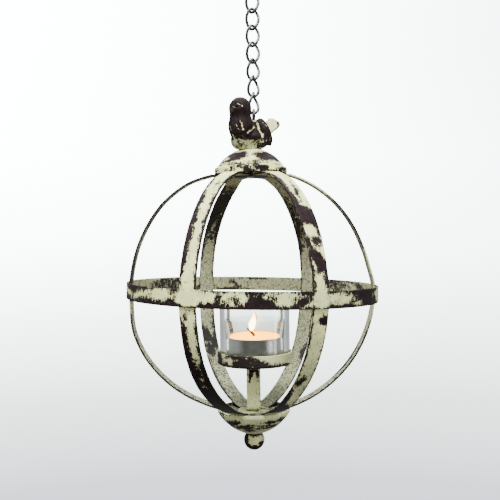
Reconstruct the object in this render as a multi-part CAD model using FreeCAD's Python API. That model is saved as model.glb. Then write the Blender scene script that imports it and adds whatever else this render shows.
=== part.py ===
import FreeCAD, Part
import math
import os
from FreeCAD import Rotation, Vector

# Hanging tealight lantern: a round cage of bent flat strips, hung by a cast bird
# finial on a twisted-link chain that ends in an open hook.
#
# Millimetres.  The part's origin is the inside of the hook's top bend, where the
# lantern hangs, and +Z is up.  The lantern itself is modelled about the centre of
# its cage ("cage frame") and then moved down under the chain.
# Directions around the cage are given as an angle from the front (-Y), positive
# towards the right (+X).

# Cage strips
RIB_RADIUS = 87.5
RIB_WIDTH = 11.8
RIB_THICKNESS = 1.5
RIB_TAB_TOP = 83.0
RIB_END_RADIUS = 11.7
RIB_ANGLES = {
    "rib_front_left": -27.0,
    "rib_front_right": 29.0,
    "rib_right": 90.0,
    "rib_back_right": 149.0,
    "rib_back_left": -154.0,
    "rib_left": -90.0,
}

# Band round the equator, outside the strips
RING_OUTER_RADIUS = 89.0
RING_INNER_RADIUS = 87.80
RING_HEIGHT = 11.0
RING_TILT = 1.6  # welded on a little lower at the right

# Hub discs that the strip ends are welded to
HUB_RADIUS = 11.6
HUB_THICKNESS = 2.0
LOWER_HUB_TOP = -85.2

# Domed cap
CAP_RIM_RADIUS = 25.8
CAP_BAND_TOP = 87.4
CAP_DOME_RADIUS = 27.8
CAP_DOME_CENTRE = 74.0
CAP_SHOULDER_RADIUS = 23.8
CAP_SEAT_RADIUS = 9.0
SHEET = 1.0

# Bottom bowl and ball
BOWL_RIM_RADIUS = 25.8
BOWL_RIM_TOP = -84.1
BOWL_BAND_BOTTOM = -86.4
BOWL_MID = (16.6, -96.5)
BOWL_BOTTOM = -101.9
BOWL_SEAT_RADIUS = 5.6
BALL_RADIUS = 7.35
BALL_CENTRE = -106.9

# Fasteners
STUD_RADIUS = 2.0
STUD_TOP = -79.2
STUD_BOTTOM = -109.5
NUT_HEIGHT = 3.2
NUT_ACROSS_FLATS = 7.0
FINIAL_STUD_RADIUS = 2.45
FINIAL_STUD_TOP = 108.0
THREAD_PLAY = 0.05
RIVET_RADIUS = 1.45
RIVET_HEAD_RADIUS = 2.8
RIVET_HEAD_HEIGHT = 0.7

# Candle holder: a strip stem with a foot at each end, and a shallow round dish that
# is riveted on a little to the right of the stem
DISH_OFFSET = 1.3
STEM_WIDTH = 9.8
STEM_THICKNESS = 2.0
STEM_FRONT = -6.5
STEM_FOOT_BACK = 6.0
DISH_RADIUS = 26.75
DISH_BOTTOM = -52.1
DISH_HEIGHT = 8.9
DISH_CORNER = 1.6

# Glass cup
GLASS_RADIUS = 25.0
GLASS_WALL = 3.2
GLASS_BOTTOM = -51.0
GLASS_TOP = -8.5
GLASS_FLOOR = -48.0
GLASS_FOOT_RADIUS = 17.0
GLASS_PUNT = 1.3

# Tealight
TIN_RADIUS = 19.0
TIN_HEIGHT = 15.0
TIN_SHEET = 0.35
TIN_BOTTOM = -47.9
WAX_TOP = -34.0
WICK_RADIUS = 0.7
WICK_FOOT = Vector(0, 0, -47.3)
WICK_BEND = Vector(0, 0, -34.5)
WICK_TIP = Vector(-4.1, -0.4, -29.0)
WICK_TAB_RADIUS = 6.0
WICK_TAB_HEIGHT = 0.3

# Chain of twisted links, and the eye in the bird's back
LINK_WIRE = 1.9
LINK_HALF_LENGTH = 7.0
LINK_HALF_WIDTH = 4.4
LINK_BEND_RADIUS = 3.6
LINK_BEND_TWIST = 45.0
LINK_GAP = 0.15
LINK_TURNS = (0.0, 0.0, 0.0, 5.0, 12.0, 20.0, 28.0)
EYE_WIRE = 2.0
EYE_RADIUS = 3.6
EYE_HEIGHT = 129.0
EYE_OFFSET = 2.6
EYE_SHANK_RADIUS = 1.2
EYE_SHANK_BOTTOM = 113.0

# Open hook at the top of the chain
HOOK_WIRE = 2.2
HOOK_INNER_RADIUS = 6.0
HOOK_NECK_RADIUS = 5.0
HOOK_TIP_LENGTH = 3.0
HOOK_SHANK = 0.6
HOOK_EYE_RADIUS = 3.7
HOOK_EYE_WIRE = 2.4
HOOK_PLANE = -45.0

# Bird finial: (centre in the cage frame, radius) of its round masses
BIRD_BODY = (Vector(0.5, 0.0, 109.0), 11.6)
BIRD_HEAD = (Vector(-6.4, -10.5, 113.5), Vector(-6.8, -12.4, 129.9), 8.1)
BIRD_NEAR_WING = (Vector(8.0, -4.5, 118.0), Vector(11.0, -3.0, 108.5), 5.0)
BIRD_FAR_WING = (Vector(-7.5, 6.5, 117.0), Vector(-4.0, 9.5, 108.5), 5.0)
BIRD_TAIL_ROOT = Vector(9.0, 5.0, 112.0)
BIRD_TAIL_TIP = Vector(20.5, 10.5, 122.0)
BIRD_TAIL_WIDTH = 9.0
BIRD_TAIL_THICKNESS = 2.6

# Heights that follow from the sizes above
BIRD_SEAT = CAP_DOME_CENTRE + math.sqrt(CAP_DOME_RADIUS ** 2 - CAP_SEAT_RADIUS ** 2)
HOOK_BEND = HOOK_INNER_RADIUS + HOOK_WIRE / 2
HOOK_TURN = math.degrees(math.acos(HOOK_NECK_RADIUS / (HOOK_BEND + HOOK_NECK_RADIUS)))
HOOK_NECK_BOTTOM = (-HOOK_INNER_RADIUS
                    - (HOOK_BEND + HOOK_NECK_RADIUS) * math.sin(math.radians(HOOK_TURN)))
HOOK_EYE_CENTRE = HOOK_NECK_BOTTOM - HOOK_SHANK - HOOK_EYE_RADIUS
LINK_PITCH = 2 * LINK_HALF_LENGTH - LINK_WIRE - LINK_GAP
FIRST_LINK = (HOOK_EYE_CENTRE - HOOK_EYE_RADIUS + HOOK_EYE_WIRE / 2 + LINK_WIRE / 2
              + LINK_GAP - LINK_HALF_LENGTH)
LAST_LINK = FIRST_LINK - (len(LINK_TURNS) - 1) * LINK_PITCH
EYE_TOP = LAST_LINK - LINK_HALF_LENGTH + LINK_WIRE / 2 + EYE_WIRE / 2 + LINK_GAP
CAGE_ORIGIN = Vector(-EYE_OFFSET, 0, EYE_TOP - EYE_HEIGHT)

UP = Vector(0, 0, 1)


def save(name, shape):
    shape.exportStep("parts/" + name + ".step")


def save_in_cage(name, shape, offset=0.0):
    moved = shape.copy()
    moved.translate(CAGE_ORIGIN + Vector(offset, 0, 0))
    save(name, moved)


def in_plane(x, z):
    return Vector(x, 0, z)


def arc(start, middle, end):
    return Part.Arc(in_plane(*start), in_plane(*middle), in_plane(*end)).toShape()


def line(start, end):
    return Part.LineSegment(in_plane(*start), in_plane(*end)).toShape()


def revolved(edges):
    """A solid of revolution about Z from a closed outline in the XZ plane."""
    return Part.Face(Part.Wire(edges)).revolve(Vector(0, 0, 0), UP, 360)


def upright(radius, bottom, top, x=0.0, y=0.0):
    return Part.makeCylinder(radius, top - bottom, Vector(x, y, bottom))


def rod(start, end, radius):
    return Part.makeCylinder(radius, start.distanceToPoint(end), start, end - start)


def capsule(start, end, radius):
    ends = [Part.makeSphere(radius, start), Part.makeSphere(radius, end)]
    return rod(start, end, radius).fuse(ends).removeSplitter()


def on_circle(radius, x):
    return math.sqrt(radius ** 2 - x ** 2)


def rib(angle):
    """A strip bent to the cage's radius: a flat tab under the cap, a plain end below."""
    inner = RIB_RADIUS - RIB_THICKNESS
    tab_under = RIB_TAB_TOP - RIB_THICKNESS
    tab_outer = (on_circle(RIB_RADIUS, RIB_TAB_TOP), RIB_TAB_TOP)
    tab_inner = (on_circle(inner, tab_under), tab_under)
    low_outer = (RIB_END_RADIUS, -on_circle(RIB_RADIUS, RIB_END_RADIUS))
    low_inner = (RIB_END_RADIUS, -on_circle(inner, RIB_END_RADIUS))
    tab_end_top = (RIB_END_RADIUS, RIB_TAB_TOP)
    tab_end_under = (RIB_END_RADIUS, tab_under)
    outline = [
        arc(tab_outer, (RIB_RADIUS, 0), low_outer),
        line(low_outer, low_inner),
        arc(low_inner, (inner, 0), tab_inner),
        line(tab_inner, tab_end_under),
        line(tab_end_under, tab_end_top),
        line(tab_end_top, tab_outer),
    ]
    strip = Part.Face(Part.Wire(outline)).extrude(Vector(0, RIB_WIDTH, 0))
    strip.translate(Vector(0, -RIB_WIDTH / 2, 0))
    strip.rotate(Vector(0, 0, 0), UP, angle - 90.0)
    return strip


def equator_ring():
    band = upright(RING_OUTER_RADIUS, -RING_HEIGHT / 2, RING_HEIGHT / 2)
    band = band.cut(upright(RING_INNER_RADIUS, -RING_HEIGHT, RING_HEIGHT))
    band.rotate(Vector(0, 0, 0), Vector(0, 1, 0), RING_TILT)
    return band


def hub(top, hole_radius):
    disc = upright(HUB_RADIUS, top - HUB_THICKNESS, top)
    return disc.cut(upright(hole_radius, top - 2 * HUB_THICKNESS, top + HUB_THICKNESS))


def top_cap():
    """A pressed cap: a straight band, a small shoulder and a dome with a flat seat."""
    def dome_height(radius, sphere):
        return CAP_DOME_CENTRE + on_circle(sphere, radius)

    inner_sphere = CAP_DOME_RADIUS - SHEET
    shoulder = (CAP_SHOULDER_RADIUS, dome_height(CAP_SHOULDER_RADIUS, CAP_DOME_RADIUS))
    middle_radius = (CAP_SHOULDER_RADIUS + CAP_SEAT_RADIUS) / 2
    middle = (middle_radius, dome_height(middle_radius, CAP_DOME_RADIUS))
    seat = (CAP_SEAT_RADIUS, dome_height(CAP_SEAT_RADIUS, CAP_DOME_RADIUS))
    inner_shoulder_radius = CAP_SHOULDER_RADIUS - SHEET
    inner_shoulder = (inner_shoulder_radius, dome_height(inner_shoulder_radius, inner_sphere))
    inner_middle = (middle_radius, dome_height(middle_radius, inner_sphere))
    inner_seat = (CAP_SEAT_RADIUS, dome_height(CAP_SEAT_RADIUS, inner_sphere))
    bore = FINIAL_STUD_RADIUS + THREAD_PLAY
    inner_rim = CAP_RIM_RADIUS - SHEET
    corners = [
        (inner_rim, RIB_TAB_TOP), (CAP_RIM_RADIUS, RIB_TAB_TOP),
        (CAP_RIM_RADIUS, CAP_BAND_TOP), shoulder,
    ]
    inner_corners = [inner_shoulder, (inner_rim, CAP_BAND_TOP - SHEET / 2),
                     (inner_rim, RIB_TAB_TOP)]
    outline = [line(a, b) for a, b in zip(corners, corners[1:])]
    outline += [
        arc(shoulder, middle, seat),
        line(seat, (bore, seat[1])),
        line((bore, seat[1]), (bore, inner_seat[1])),
        line((bore, inner_seat[1]), inner_seat),
        arc(inner_seat, inner_middle, inner_shoulder),
    ]
    outline += [line(a, b) for a, b in zip(inner_corners, inner_corners[1:])]
    return revolved(outline)


def bottom_bowl():
    """A dished bowl with a short straight rim and a flat seat for the ball."""
    bore = STUD_RADIUS + THREAD_PLAY
    inner_rim = BOWL_RIM_RADIUS - SHEET
    inner_seat_radius = BOWL_SEAT_RADIUS - SHEET / 2
    floor = BOWL_BOTTOM + SHEET
    slant = SHEET / math.sqrt(2)
    inner_mid = (BOWL_MID[0] - slant, BOWL_MID[1] + slant)
    inner_band_bottom = BOWL_BAND_BOTTOM + SHEET / 4
    outline = [
        line((inner_rim, BOWL_RIM_TOP), (BOWL_RIM_RADIUS, BOWL_RIM_TOP)),
        line((BOWL_RIM_RADIUS, BOWL_RIM_TOP), (BOWL_RIM_RADIUS, BOWL_BAND_BOTTOM)),
        arc((BOWL_RIM_RADIUS, BOWL_BAND_BOTTOM), BOWL_MID, (BOWL_SEAT_RADIUS, BOWL_BOTTOM)),
        line((BOWL_SEAT_RADIUS, BOWL_BOTTOM), (bore, BOWL_BOTTOM)),
        line((bore, BOWL_BOTTOM), (bore, floor)),
        line((bore, floor), (inner_seat_radius, floor)),
        arc((inner_seat_radius, floor), inner_mid, (inner_rim, inner_band_bottom)),
        line((inner_rim, inner_band_bottom), (inner_rim, BOWL_RIM_TOP)),
    ]
    return revolved(outline)


def ball_finial():
    ball = Part.makeSphere(BALL_RADIUS, Vector(0, 0, BALL_CENTRE))
    ball = ball.cut(upright(2 * BALL_RADIUS, BOWL_BOTTOM, BOWL_BOTTOM + 2 * BALL_RADIUS))
    return ball.cut(upright(STUD_RADIUS + THREAD_PLAY, STUD_BOTTOM, BOWL_BOTTOM + 1.0))


def bottom_stud():
    return upright(STUD_RADIUS, STUD_BOTTOM, STUD_TOP)


def stem_nut():
    bottom = LOWER_HUB_TOP + STEM_THICKNESS
    corner = NUT_ACROSS_FLATS / math.sqrt(3)
    points = []
    for step in range(7):
        turn = math.radians(60 * step)
        points.append(Vector(corner * math.cos(turn), corner * math.sin(turn), bottom))
    body = Part.Face(Part.makePolygon(points)).extrude(Vector(0, 0, NUT_HEIGHT))
    return body.cut(upright(STUD_RADIUS + THREAD_PLAY, bottom - 1, bottom + NUT_HEIGHT + 1))


def holder_stem():
    """An upright strip with both ends bent back into feet on the lantern's axis."""
    depth = STEM_FOOT_BACK - STEM_FRONT
    height = DISH_BOTTOM - LOWER_HUB_TOP
    corner = Vector(-STEM_WIDTH / 2, STEM_FRONT, LOWER_HUB_TOP)
    upper = Vector(-STEM_WIDTH / 2, STEM_FRONT, DISH_BOTTOM - STEM_THICKNESS)
    bar = Part.makeBox(STEM_WIDTH, STEM_THICKNESS, height, corner)
    feet = [Part.makeBox(STEM_WIDTH, depth, STEM_THICKNESS, corner),
            Part.makeBox(STEM_WIDTH, depth, STEM_THICKNESS, upper)]
    stem = bar.fuse(feet).removeSplitter()
    stem = stem.cut(upright(STUD_RADIUS + THREAD_PLAY, LOWER_HUB_TOP - 1,
                            LOWER_HUB_TOP + STEM_THICKNESS + 1))
    return stem.cut(upright(RIVET_RADIUS + THREAD_PLAY, upper.z - 1, DISH_BOTTOM + 1,
                            DISH_OFFSET))


def candle_dish():
    """A shallow round dish with a rounded lower edge and a rivet hole."""
    top = DISH_BOTTOM + DISH_HEIGHT
    floor = DISH_BOTTOM + SHEET
    inner = DISH_RADIUS - SHEET
    inner_corner = DISH_CORNER - SHEET
    bore = RIVET_RADIUS + THREAD_PLAY
    near = 1 - math.sqrt(0.5)  # how far an arc's middle stands in from its corner
    outline = [
        line((bore, DISH_BOTTOM), (DISH_RADIUS - DISH_CORNER, DISH_BOTTOM)),
        arc((DISH_RADIUS - DISH_CORNER, DISH_BOTTOM),
            (DISH_RADIUS - near * DISH_CORNER, DISH_BOTTOM + near * DISH_CORNER),
            (DISH_RADIUS, DISH_BOTTOM + DISH_CORNER)),
        line((DISH_RADIUS, DISH_BOTTOM + DISH_CORNER), (DISH_RADIUS, top)),
        line((DISH_RADIUS, top), (inner, top)),
        line((inner, top), (inner, floor + inner_corner)),
        arc((inner, floor + inner_corner),
            (inner - near * inner_corner, floor + near * inner_corner),
            (inner - inner_corner, floor)),
        line((inner - inner_corner, floor), (bore, floor)),
        line((bore, floor), (bore, DISH_BOTTOM)),
    ]
    return revolved(outline)


def dish_rivet():
    foot_under = DISH_BOTTOM - STEM_THICKNESS
    floor = DISH_BOTTOM + SHEET
    shank = upright(RIVET_RADIUS, foot_under, floor)
    heads = [upright(RIVET_HEAD_RADIUS, foot_under - RIVET_HEAD_HEIGHT, foot_under),
             upright(RIVET_HEAD_RADIUS, floor, floor + RIVET_HEAD_HEIGHT)]
    return shank.fuse(heads).removeSplitter()


def bird_finial():
    """A plump perched bird: body, raised head and breast, folded wings, cocked tail."""
    centre, radius = BIRD_BODY
    masses = [capsule(*BIRD_HEAD), capsule(*BIRD_NEAR_WING), capsule(*BIRD_FAR_WING),
              bird_tail()]
    bird = Part.makeSphere(radius, centre).fuse(masses).removeSplitter()
    bird = bird.cut(Part.makeBox(80, 80, 40, Vector(-40, -40, BIRD_SEAT - 40)))
    bird = bird.cut(upright(FINIAL_STUD_RADIUS + THREAD_PLAY, BIRD_SEAT - 1, FINIAL_STUD_TOP))
    return bird.cut(upright(EYE_SHANK_RADIUS + THREAD_PLAY, EYE_SHANK_BOTTOM,
                            BIRD_BODY[0].z + 2 * radius, EYE_OFFSET))


def bird_tail():
    along = BIRD_TAIL_TIP - BIRD_TAIL_ROOT
    paddle = Part.makeBox(along.Length, BIRD_TAIL_WIDTH, BIRD_TAIL_THICKNESS,
                          Vector(0, -BIRD_TAIL_WIDTH / 2, -BIRD_TAIL_THICKNESS / 2))
    corners = [edge for edge in paddle.Edges
               if edge.BoundBox.XMin > along.Length - 0.1 and edge.BoundBox.ZLength > 1]
    paddle = paddle.makeFillet(BIRD_TAIL_WIDTH / 3, corners)
    side = UP.cross(along)
    paddle.Placement = FreeCAD.Placement(
        BIRD_TAIL_ROOT, Rotation(along, side, along.cross(side), "XZY"))
    return paddle


def finial_stud():
    return upright(FINIAL_STUD_RADIUS, RIB_TAB_TOP - HUB_THICKNESS, FINIAL_STUD_TOP - 0.2)


def chain_eye():
    """The ring that the chain holds, on a shank driven into the bird's back."""
    centre = Vector(EYE_OFFSET, 0, EYE_HEIGHT - EYE_RADIUS)
    plane = LINK_TURNS[-1] - LINK_BEND_TWIST + 90.0
    ring = Part.makeTorus(EYE_RADIUS, EYE_WIRE / 2, centre, facing(plane))
    shank = upright(EYE_SHANK_RADIUS, EYE_SHANK_BOTTOM, centre.z - EYE_RADIUS, EYE_OFFSET)
    return ring.fuse(shank).removeSplitter()


def glass_cup():
    """A thick straight cup with a small punt under its foot."""
    inner = GLASS_RADIUS - GLASS_WALL
    lip = (GLASS_RADIUS - GLASS_WALL / 2, GLASS_TOP)
    lip_drop = GLASS_TOP - GLASS_WALL / 2
    corner = 2.0
    near = (1 - math.sqrt(0.5)) * corner
    outline = [
        line((0, GLASS_BOTTOM + GLASS_PUNT), (GLASS_FOOT_RADIUS, GLASS_BOTTOM + GLASS_PUNT)),
        line((GLASS_FOOT_RADIUS, GLASS_BOTTOM + GLASS_PUNT), (GLASS_FOOT_RADIUS + 1, GLASS_BOTTOM)),
        line((GLASS_FOOT_RADIUS + 1, GLASS_BOTTOM), (GLASS_RADIUS - corner, GLASS_BOTTOM)),
        arc((GLASS_RADIUS - corner, GLASS_BOTTOM), (GLASS_RADIUS - near, GLASS_BOTTOM + near),
            (GLASS_RADIUS, GLASS_BOTTOM + corner)),
        line((GLASS_RADIUS, GLASS_BOTTOM + corner), (GLASS_RADIUS, lip_drop)),
        arc((GLASS_RADIUS, lip_drop), lip, (inner, lip_drop)),
        line((inner, lip_drop), (inner, GLASS_FLOOR + corner)),
        arc((inner, GLASS_FLOOR + corner), (inner - near, GLASS_FLOOR + near),
            (inner - corner, GLASS_FLOOR)),
        line((inner - corner, GLASS_FLOOR), (0, GLASS_FLOOR)),
        line((0, GLASS_FLOOR), (0, GLASS_BOTTOM + GLASS_PUNT)),
    ]
    return revolved(outline)


def tealight_tin():
    cup = upright(TIN_RADIUS, TIN_BOTTOM, TIN_BOTTOM + TIN_HEIGHT)
    return cup.cut(upright(TIN_RADIUS - TIN_SHEET, TIN_BOTTOM + TIN_SHEET,
                           TIN_BOTTOM + TIN_HEIGHT + 1))


def tealight_wick():
    above_wax = [rod(WICK_BEND, WICK_TIP, WICK_RADIUS), Part.makeSphere(WICK_RADIUS, WICK_BEND)]
    return rod(WICK_FOOT, WICK_BEND, WICK_RADIUS).fuse(above_wax).removeSplitter()


def wick_tab():
    floor = TIN_BOTTOM + TIN_SHEET
    tab = upright(WICK_TAB_RADIUS, floor, floor + WICK_TAB_HEIGHT)
    return tab.cut(tealight_wick())


def tealight_wax():
    fill = upright(TIN_RADIUS - TIN_SHEET, TIN_BOTTOM + TIN_SHEET, WAX_TOP)
    return fill.cut([tealight_wick(), wick_tab()])


def facing(plane_angle):
    """The horizontal normal of an upright plane that lies along plane_angle."""
    turn = math.radians(plane_angle)
    return Vector(-math.sin(turn), math.cos(turn), 0)


def half_bend(radius, wire, height, plane_angle, upper):
    """Half a ring of wire in an upright plane, its ends at the given height."""
    ring = Part.makeTorus(radius, wire / 2, Vector(0, 0, height), facing(plane_angle))
    reach = 2 * (radius + wire)
    keep_from = height if upper else height - reach
    keep = Part.makeBox(2 * reach, 2 * reach, reach, Vector(-reach, -reach, keep_from))
    return ring.common(keep)


def chain_link(turn):
    """A link twisted a quarter turn from its top bend to its bottom bend."""
    bend_height = LINK_HALF_LENGTH - LINK_BEND_RADIUS
    top = half_bend(LINK_BEND_RADIUS, LINK_WIRE, bend_height, LINK_BEND_TWIST, True)
    bottom = half_bend(LINK_BEND_RADIUS, LINK_WIRE, -bend_height, -LINK_BEND_TWIST, False)
    reach = LINK_BEND_RADIUS * math.cos(math.radians(LINK_BEND_TWIST))
    pieces = [bottom]
    for side in (1, -1):
        bend_top = Vector(side * reach, side * reach, bend_height)
        waist = Vector(side * LINK_HALF_WIDTH, 0, 0)
        bend_bottom = Vector(side * reach, -side * reach, -bend_height)
        pieces += [rod(bend_top, waist, LINK_WIRE / 2), rod(waist, bend_bottom, LINK_WIRE / 2)]
        pieces += [Part.makeSphere(LINK_WIRE / 2, point)
                   for point in (bend_top, waist, bend_bottom)]
    link = top.fuse(pieces).removeSplitter()
    link.rotate(Vector(0, 0, 0), UP, turn)
    return link


def hook_point(radius, degrees, centre):
    turn = math.radians(degrees)
    return in_plane(centre.x + radius * math.cos(turn), centre.z + radius * math.sin(turn))


def wire_bend(start, heading, centre, degrees):
    """A bend of round wire in the XZ plane; positive turns from +Z towards +X."""
    section = Part.Face(Part.Wire(Part.makeCircle(HOOK_WIRE / 2, start, heading)))
    return section.revolve(centre, Vector(0, 1, 0), degrees)


def top_hook():
    """An open hook bent from one wire, with a closed eye below for the chain."""
    radius = HOOK_WIRE / 2
    bend_centre = in_plane(0, -HOOK_INNER_RADIUS)
    neck_centre = hook_point(HOOK_BEND + HOOK_NECK_RADIUS, -HOOK_TURN, bend_centre)
    tip_top = in_plane(-HOOK_BEND, -HOOK_INNER_RADIUS)
    tip = tip_top - HOOK_TIP_LENGTH * UP
    neck_end = in_plane(0, HOOK_NECK_BOTTOM)
    eye_top = in_plane(0, HOOK_EYE_CENTRE + HOOK_EYE_RADIUS)
    pieces = [
        wire_bend(tip_top, UP, bend_centre, 180 + HOOK_TURN),
        wire_bend(neck_end, UP, neck_centre, HOOK_TURN),
        Part.makeCylinder(radius, HOOK_SHANK, eye_top),
        Part.makeTorus(HOOK_EYE_RADIUS, HOOK_EYE_WIRE / 2, in_plane(0, HOOK_EYE_CENTRE),
                       Vector(0, 1, 0)),
        Part.makeSphere(radius, tip),
    ]
    hook = Part.makeCylinder(radius, HOOK_TIP_LENGTH, tip).fuse(pieces).removeSplitter()
    hook.rotate(Vector(0, 0, 0), UP, HOOK_PLANE)
    return hook


def build_lantern():
    for name, angle in RIB_ANGLES.items():
        save_in_cage(name, rib(angle))
    save_in_cage("equator_ring", equator_ring())
    save_in_cage("upper_hub", hub(RIB_TAB_TOP, FINIAL_STUD_RADIUS + THREAD_PLAY))
    save_in_cage("lower_hub", hub(LOWER_HUB_TOP, STUD_RADIUS + THREAD_PLAY))
    save_in_cage("top_cap", top_cap())
    save_in_cage("bottom_bowl", bottom_bowl())
    save_in_cage("ball_finial", ball_finial())
    save_in_cage("bottom_stud", bottom_stud())
    save_in_cage("stem_nut", stem_nut())
    save_in_cage("holder_stem", holder_stem())
    save_in_cage("candle_dish", candle_dish(), DISH_OFFSET)
    save_in_cage("dish_rivet", dish_rivet(), DISH_OFFSET)
    save_in_cage("bird_finial", bird_finial())
    save_in_cage("finial_stud", finial_stud())
    save_in_cage("chain_eye", chain_eye())


def build_candle():
    save_in_cage("glass_cup", glass_cup(), DISH_OFFSET)
    save_in_cage("tealight_tin", tealight_tin(), DISH_OFFSET)
    save_in_cage("tealight_wax", tealight_wax(), DISH_OFFSET)
    save_in_cage("tealight_wick", tealight_wick(), DISH_OFFSET)
    save_in_cage("wick_tab", wick_tab(), DISH_OFFSET)


def build_chain():
    save("top_hook", top_hook())
    for index, turn in enumerate(LINK_TURNS):
        link = chain_link(turn)
        link.translate(Vector(0, 0, FIRST_LINK - index * LINK_PITCH))
        save("chain_link_%d" % (index + 1), link)


os.makedirs("parts", exist_ok=True)
build_lantern()
build_candle()
build_chain()
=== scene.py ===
import math

import bmesh
import bpy
import numpy as np
from mathutils import Matrix, Vector


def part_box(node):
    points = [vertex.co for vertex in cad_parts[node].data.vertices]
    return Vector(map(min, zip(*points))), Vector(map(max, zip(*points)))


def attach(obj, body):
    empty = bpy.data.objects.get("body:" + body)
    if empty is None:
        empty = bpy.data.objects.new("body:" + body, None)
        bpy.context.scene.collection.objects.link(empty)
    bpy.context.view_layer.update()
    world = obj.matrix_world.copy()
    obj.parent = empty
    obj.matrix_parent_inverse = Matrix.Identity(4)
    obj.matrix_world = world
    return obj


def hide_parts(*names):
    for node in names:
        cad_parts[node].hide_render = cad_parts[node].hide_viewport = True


# The look of a hanging tealight lantern: chipped cream paint over dark iron, a bright
# twisted chain, a cast bird finial, and a lit tealight in a thick glass cup.
#
# Shapes are worked out in millimetres in the "cage frame": origin at the cage's centre,
# +Z up, -Y to the front.  make_piece() moves them to the row frame, in metres.
# Directions round the cage are degrees from the front (-Y), positive to the right (+X).

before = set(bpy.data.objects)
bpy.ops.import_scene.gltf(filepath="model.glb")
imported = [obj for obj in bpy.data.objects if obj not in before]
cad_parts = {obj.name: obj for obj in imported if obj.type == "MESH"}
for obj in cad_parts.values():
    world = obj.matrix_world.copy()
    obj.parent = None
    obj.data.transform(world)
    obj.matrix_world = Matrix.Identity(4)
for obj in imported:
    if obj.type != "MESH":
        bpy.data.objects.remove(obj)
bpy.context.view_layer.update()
MM = 0.001
UP = np.array([0.0, 0.0, 1.0])


def middle_of(node):
    low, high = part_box(node)
    return (np.array(low) + np.array(high)) / 2


CAGE = middle_of("equator_ring")


def in_cage(node):
    """The middle of a CAD node, in mm in the cage frame."""
    return (middle_of(node) - CAGE) / MM


def span_in_cage(node):
    low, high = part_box(node)
    return (np.array(low) - CAGE) / MM, (np.array(high) - CAGE) / MM


# ---------------------------------------------------------------- sizes, in mm

RIB_RADIUS, RIB_WIDTH, RIB_THICKNESS = 87.5, 11.8, 1.5
RIB_TAB_TOP, RIB_END_RADIUS = 83.0, 11.7
RIB_ANGLES = {
    "rib_front_left": -27.0,
    "rib_front_right": 29.0,
    "rib_right": 90.0,
    "rib_back_right": 149.0,
    "rib_back_left": -154.0,
    "rib_left": -90.0,
}
RING_OUTER, RING_INNER, RING_HEIGHT, RING_TILT = 89.0, 87.80, 11.0, 1.6
HUB_RADIUS, HUB_THICKNESS, LOWER_HUB_TOP = 11.6, 2.0, -85.2
SHEET = 1.0
CAP_RIM, CAP_BAND_TOP, CAP_DOME, CAP_DOME_Z = 25.8, 87.4, 27.8, 74.0
CAP_SHOULDER, CAP_SEAT, CAP_BORE = 23.8, 9.0, 2.6
BOWL_RIM, BOWL_TOP, BOWL_BAND, BOWL_BOTTOM = 25.8, -84.1, -86.4, -101.9
BOWL_SEAT, BOWL_BORE, BOWL_MIDDLE = 5.6, 2.1, (16.6, -96.5)
BALL_RADIUS, BALL_Z = 7.35, -106.9
STEM_WIDTH, STEM_THICKNESS, STEM_FRONT, STEM_BACK = 9.8, 2.0, -6.5, 6.0
DISH_RADIUS, DISH_BOTTOM, DISH_HEIGHT, DISH_CORNER = 26.75, -52.1, 8.9, 1.6
GLASS_RADIUS, GLASS_WALL, GLASS_BOTTOM, GLASS_TOP = 25.0, 3.2, -51.0, -8.5
GLASS_FLOOR, GLASS_FOOT, GLASS_PUNT = -48.0, 17.0, 1.3
TIN_RADIUS, TIN_HEIGHT, TIN_SHEET, TIN_BOTTOM, WAX_TOP = 19.0, 15.0, 0.35, -47.9, -34.0
TIN_INNER, TIN_FLOOR = TIN_RADIUS - TIN_SHEET, TIN_BOTTOM + TIN_SHEET
GLASS_POCKET = TIN_RADIUS + 1.1
STUD_RADIUS, THREAD_PITCH, THREAD_DEPTH = 2.0, 0.8, 0.30
NUT_APOTHEM, NUT_BORE = 3.5, 2.08
NUT_CONE = ((0.0, 3.35), (0.10, 3.72), (0.2, 4.1), (0.5, 9), (0.8, 4.1), (0.9, 3.72), (1.0, 3.35))
RIVET_HEAD, RIVET_DOME, RIVET_SHANK = 2.8, 0.7, 1.45
LINK_WIRE, LINK_HALF, LINK_REACH, LINK_TWIST = 2.1, 7.2, 4.3, 45.0
LINK_TURNS = (0.0, 0.0, 2.0, 9.0, 26.0, 40.0, 50.0)
LINK_POINTS, LINK_SEAM = 96, 36  # points round a link, and the one where its ends are welded
EYE_WIRE, EYE_RADIUS, EYE_SHANK = 2.0, 3.6, 1.2
HOOK_WIRE, HOOK_INNER, HOOK_NECK, HOOK_TIP, HOOK_SHANK = 2.2, 6.0, 5.0, 3.0, 0.6
HOOK_EYE, HOOK_EYE_WIRE, HOOK_PLANE = 3.7, 2.4, -45.0
BIRD_SEAT_Z = CAP_DOME_Z + math.sqrt(CAP_DOME ** 2 - CAP_SEAT ** 2)


# ---------------------------------------------------------------- camera and stage

CAMERA_LENS, CAMERA_SENSOR = 53.71, 36.0
CAMERA_PLACE = np.array([-1.3, -534.0, 37.0])
CAMERA_PITCH, CAMERA_ROLL = 0.845, 0.75


def make_camera():
    data = bpy.data.cameras.new("camera")
    data.lens, data.sensor_width = CAMERA_LENS, CAMERA_SENSOR
    data.clip_start = 0.01
    pitch, roll = math.radians(CAMERA_PITCH), math.radians(CAMERA_ROLL)
    forward = Vector((0, math.cos(pitch), -math.sin(pitch)))
    right = Vector((math.cos(roll), 0, -math.sin(roll)))
    right = (right - right.dot(forward) * forward).normalized()
    up = right.cross(forward)
    camera = bpy.data.objects.new("camera", data)
    place = Vector(CAMERA_PLACE * MM + CAGE)
    columns = Matrix((right, up, -forward)).transposed().to_4x4()
    camera.matrix_world = Matrix.Translation(place) @ columns
    bpy.context.scene.collection.objects.link(camera)
    bpy.context.scene.camera = camera


make_camera()


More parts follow.
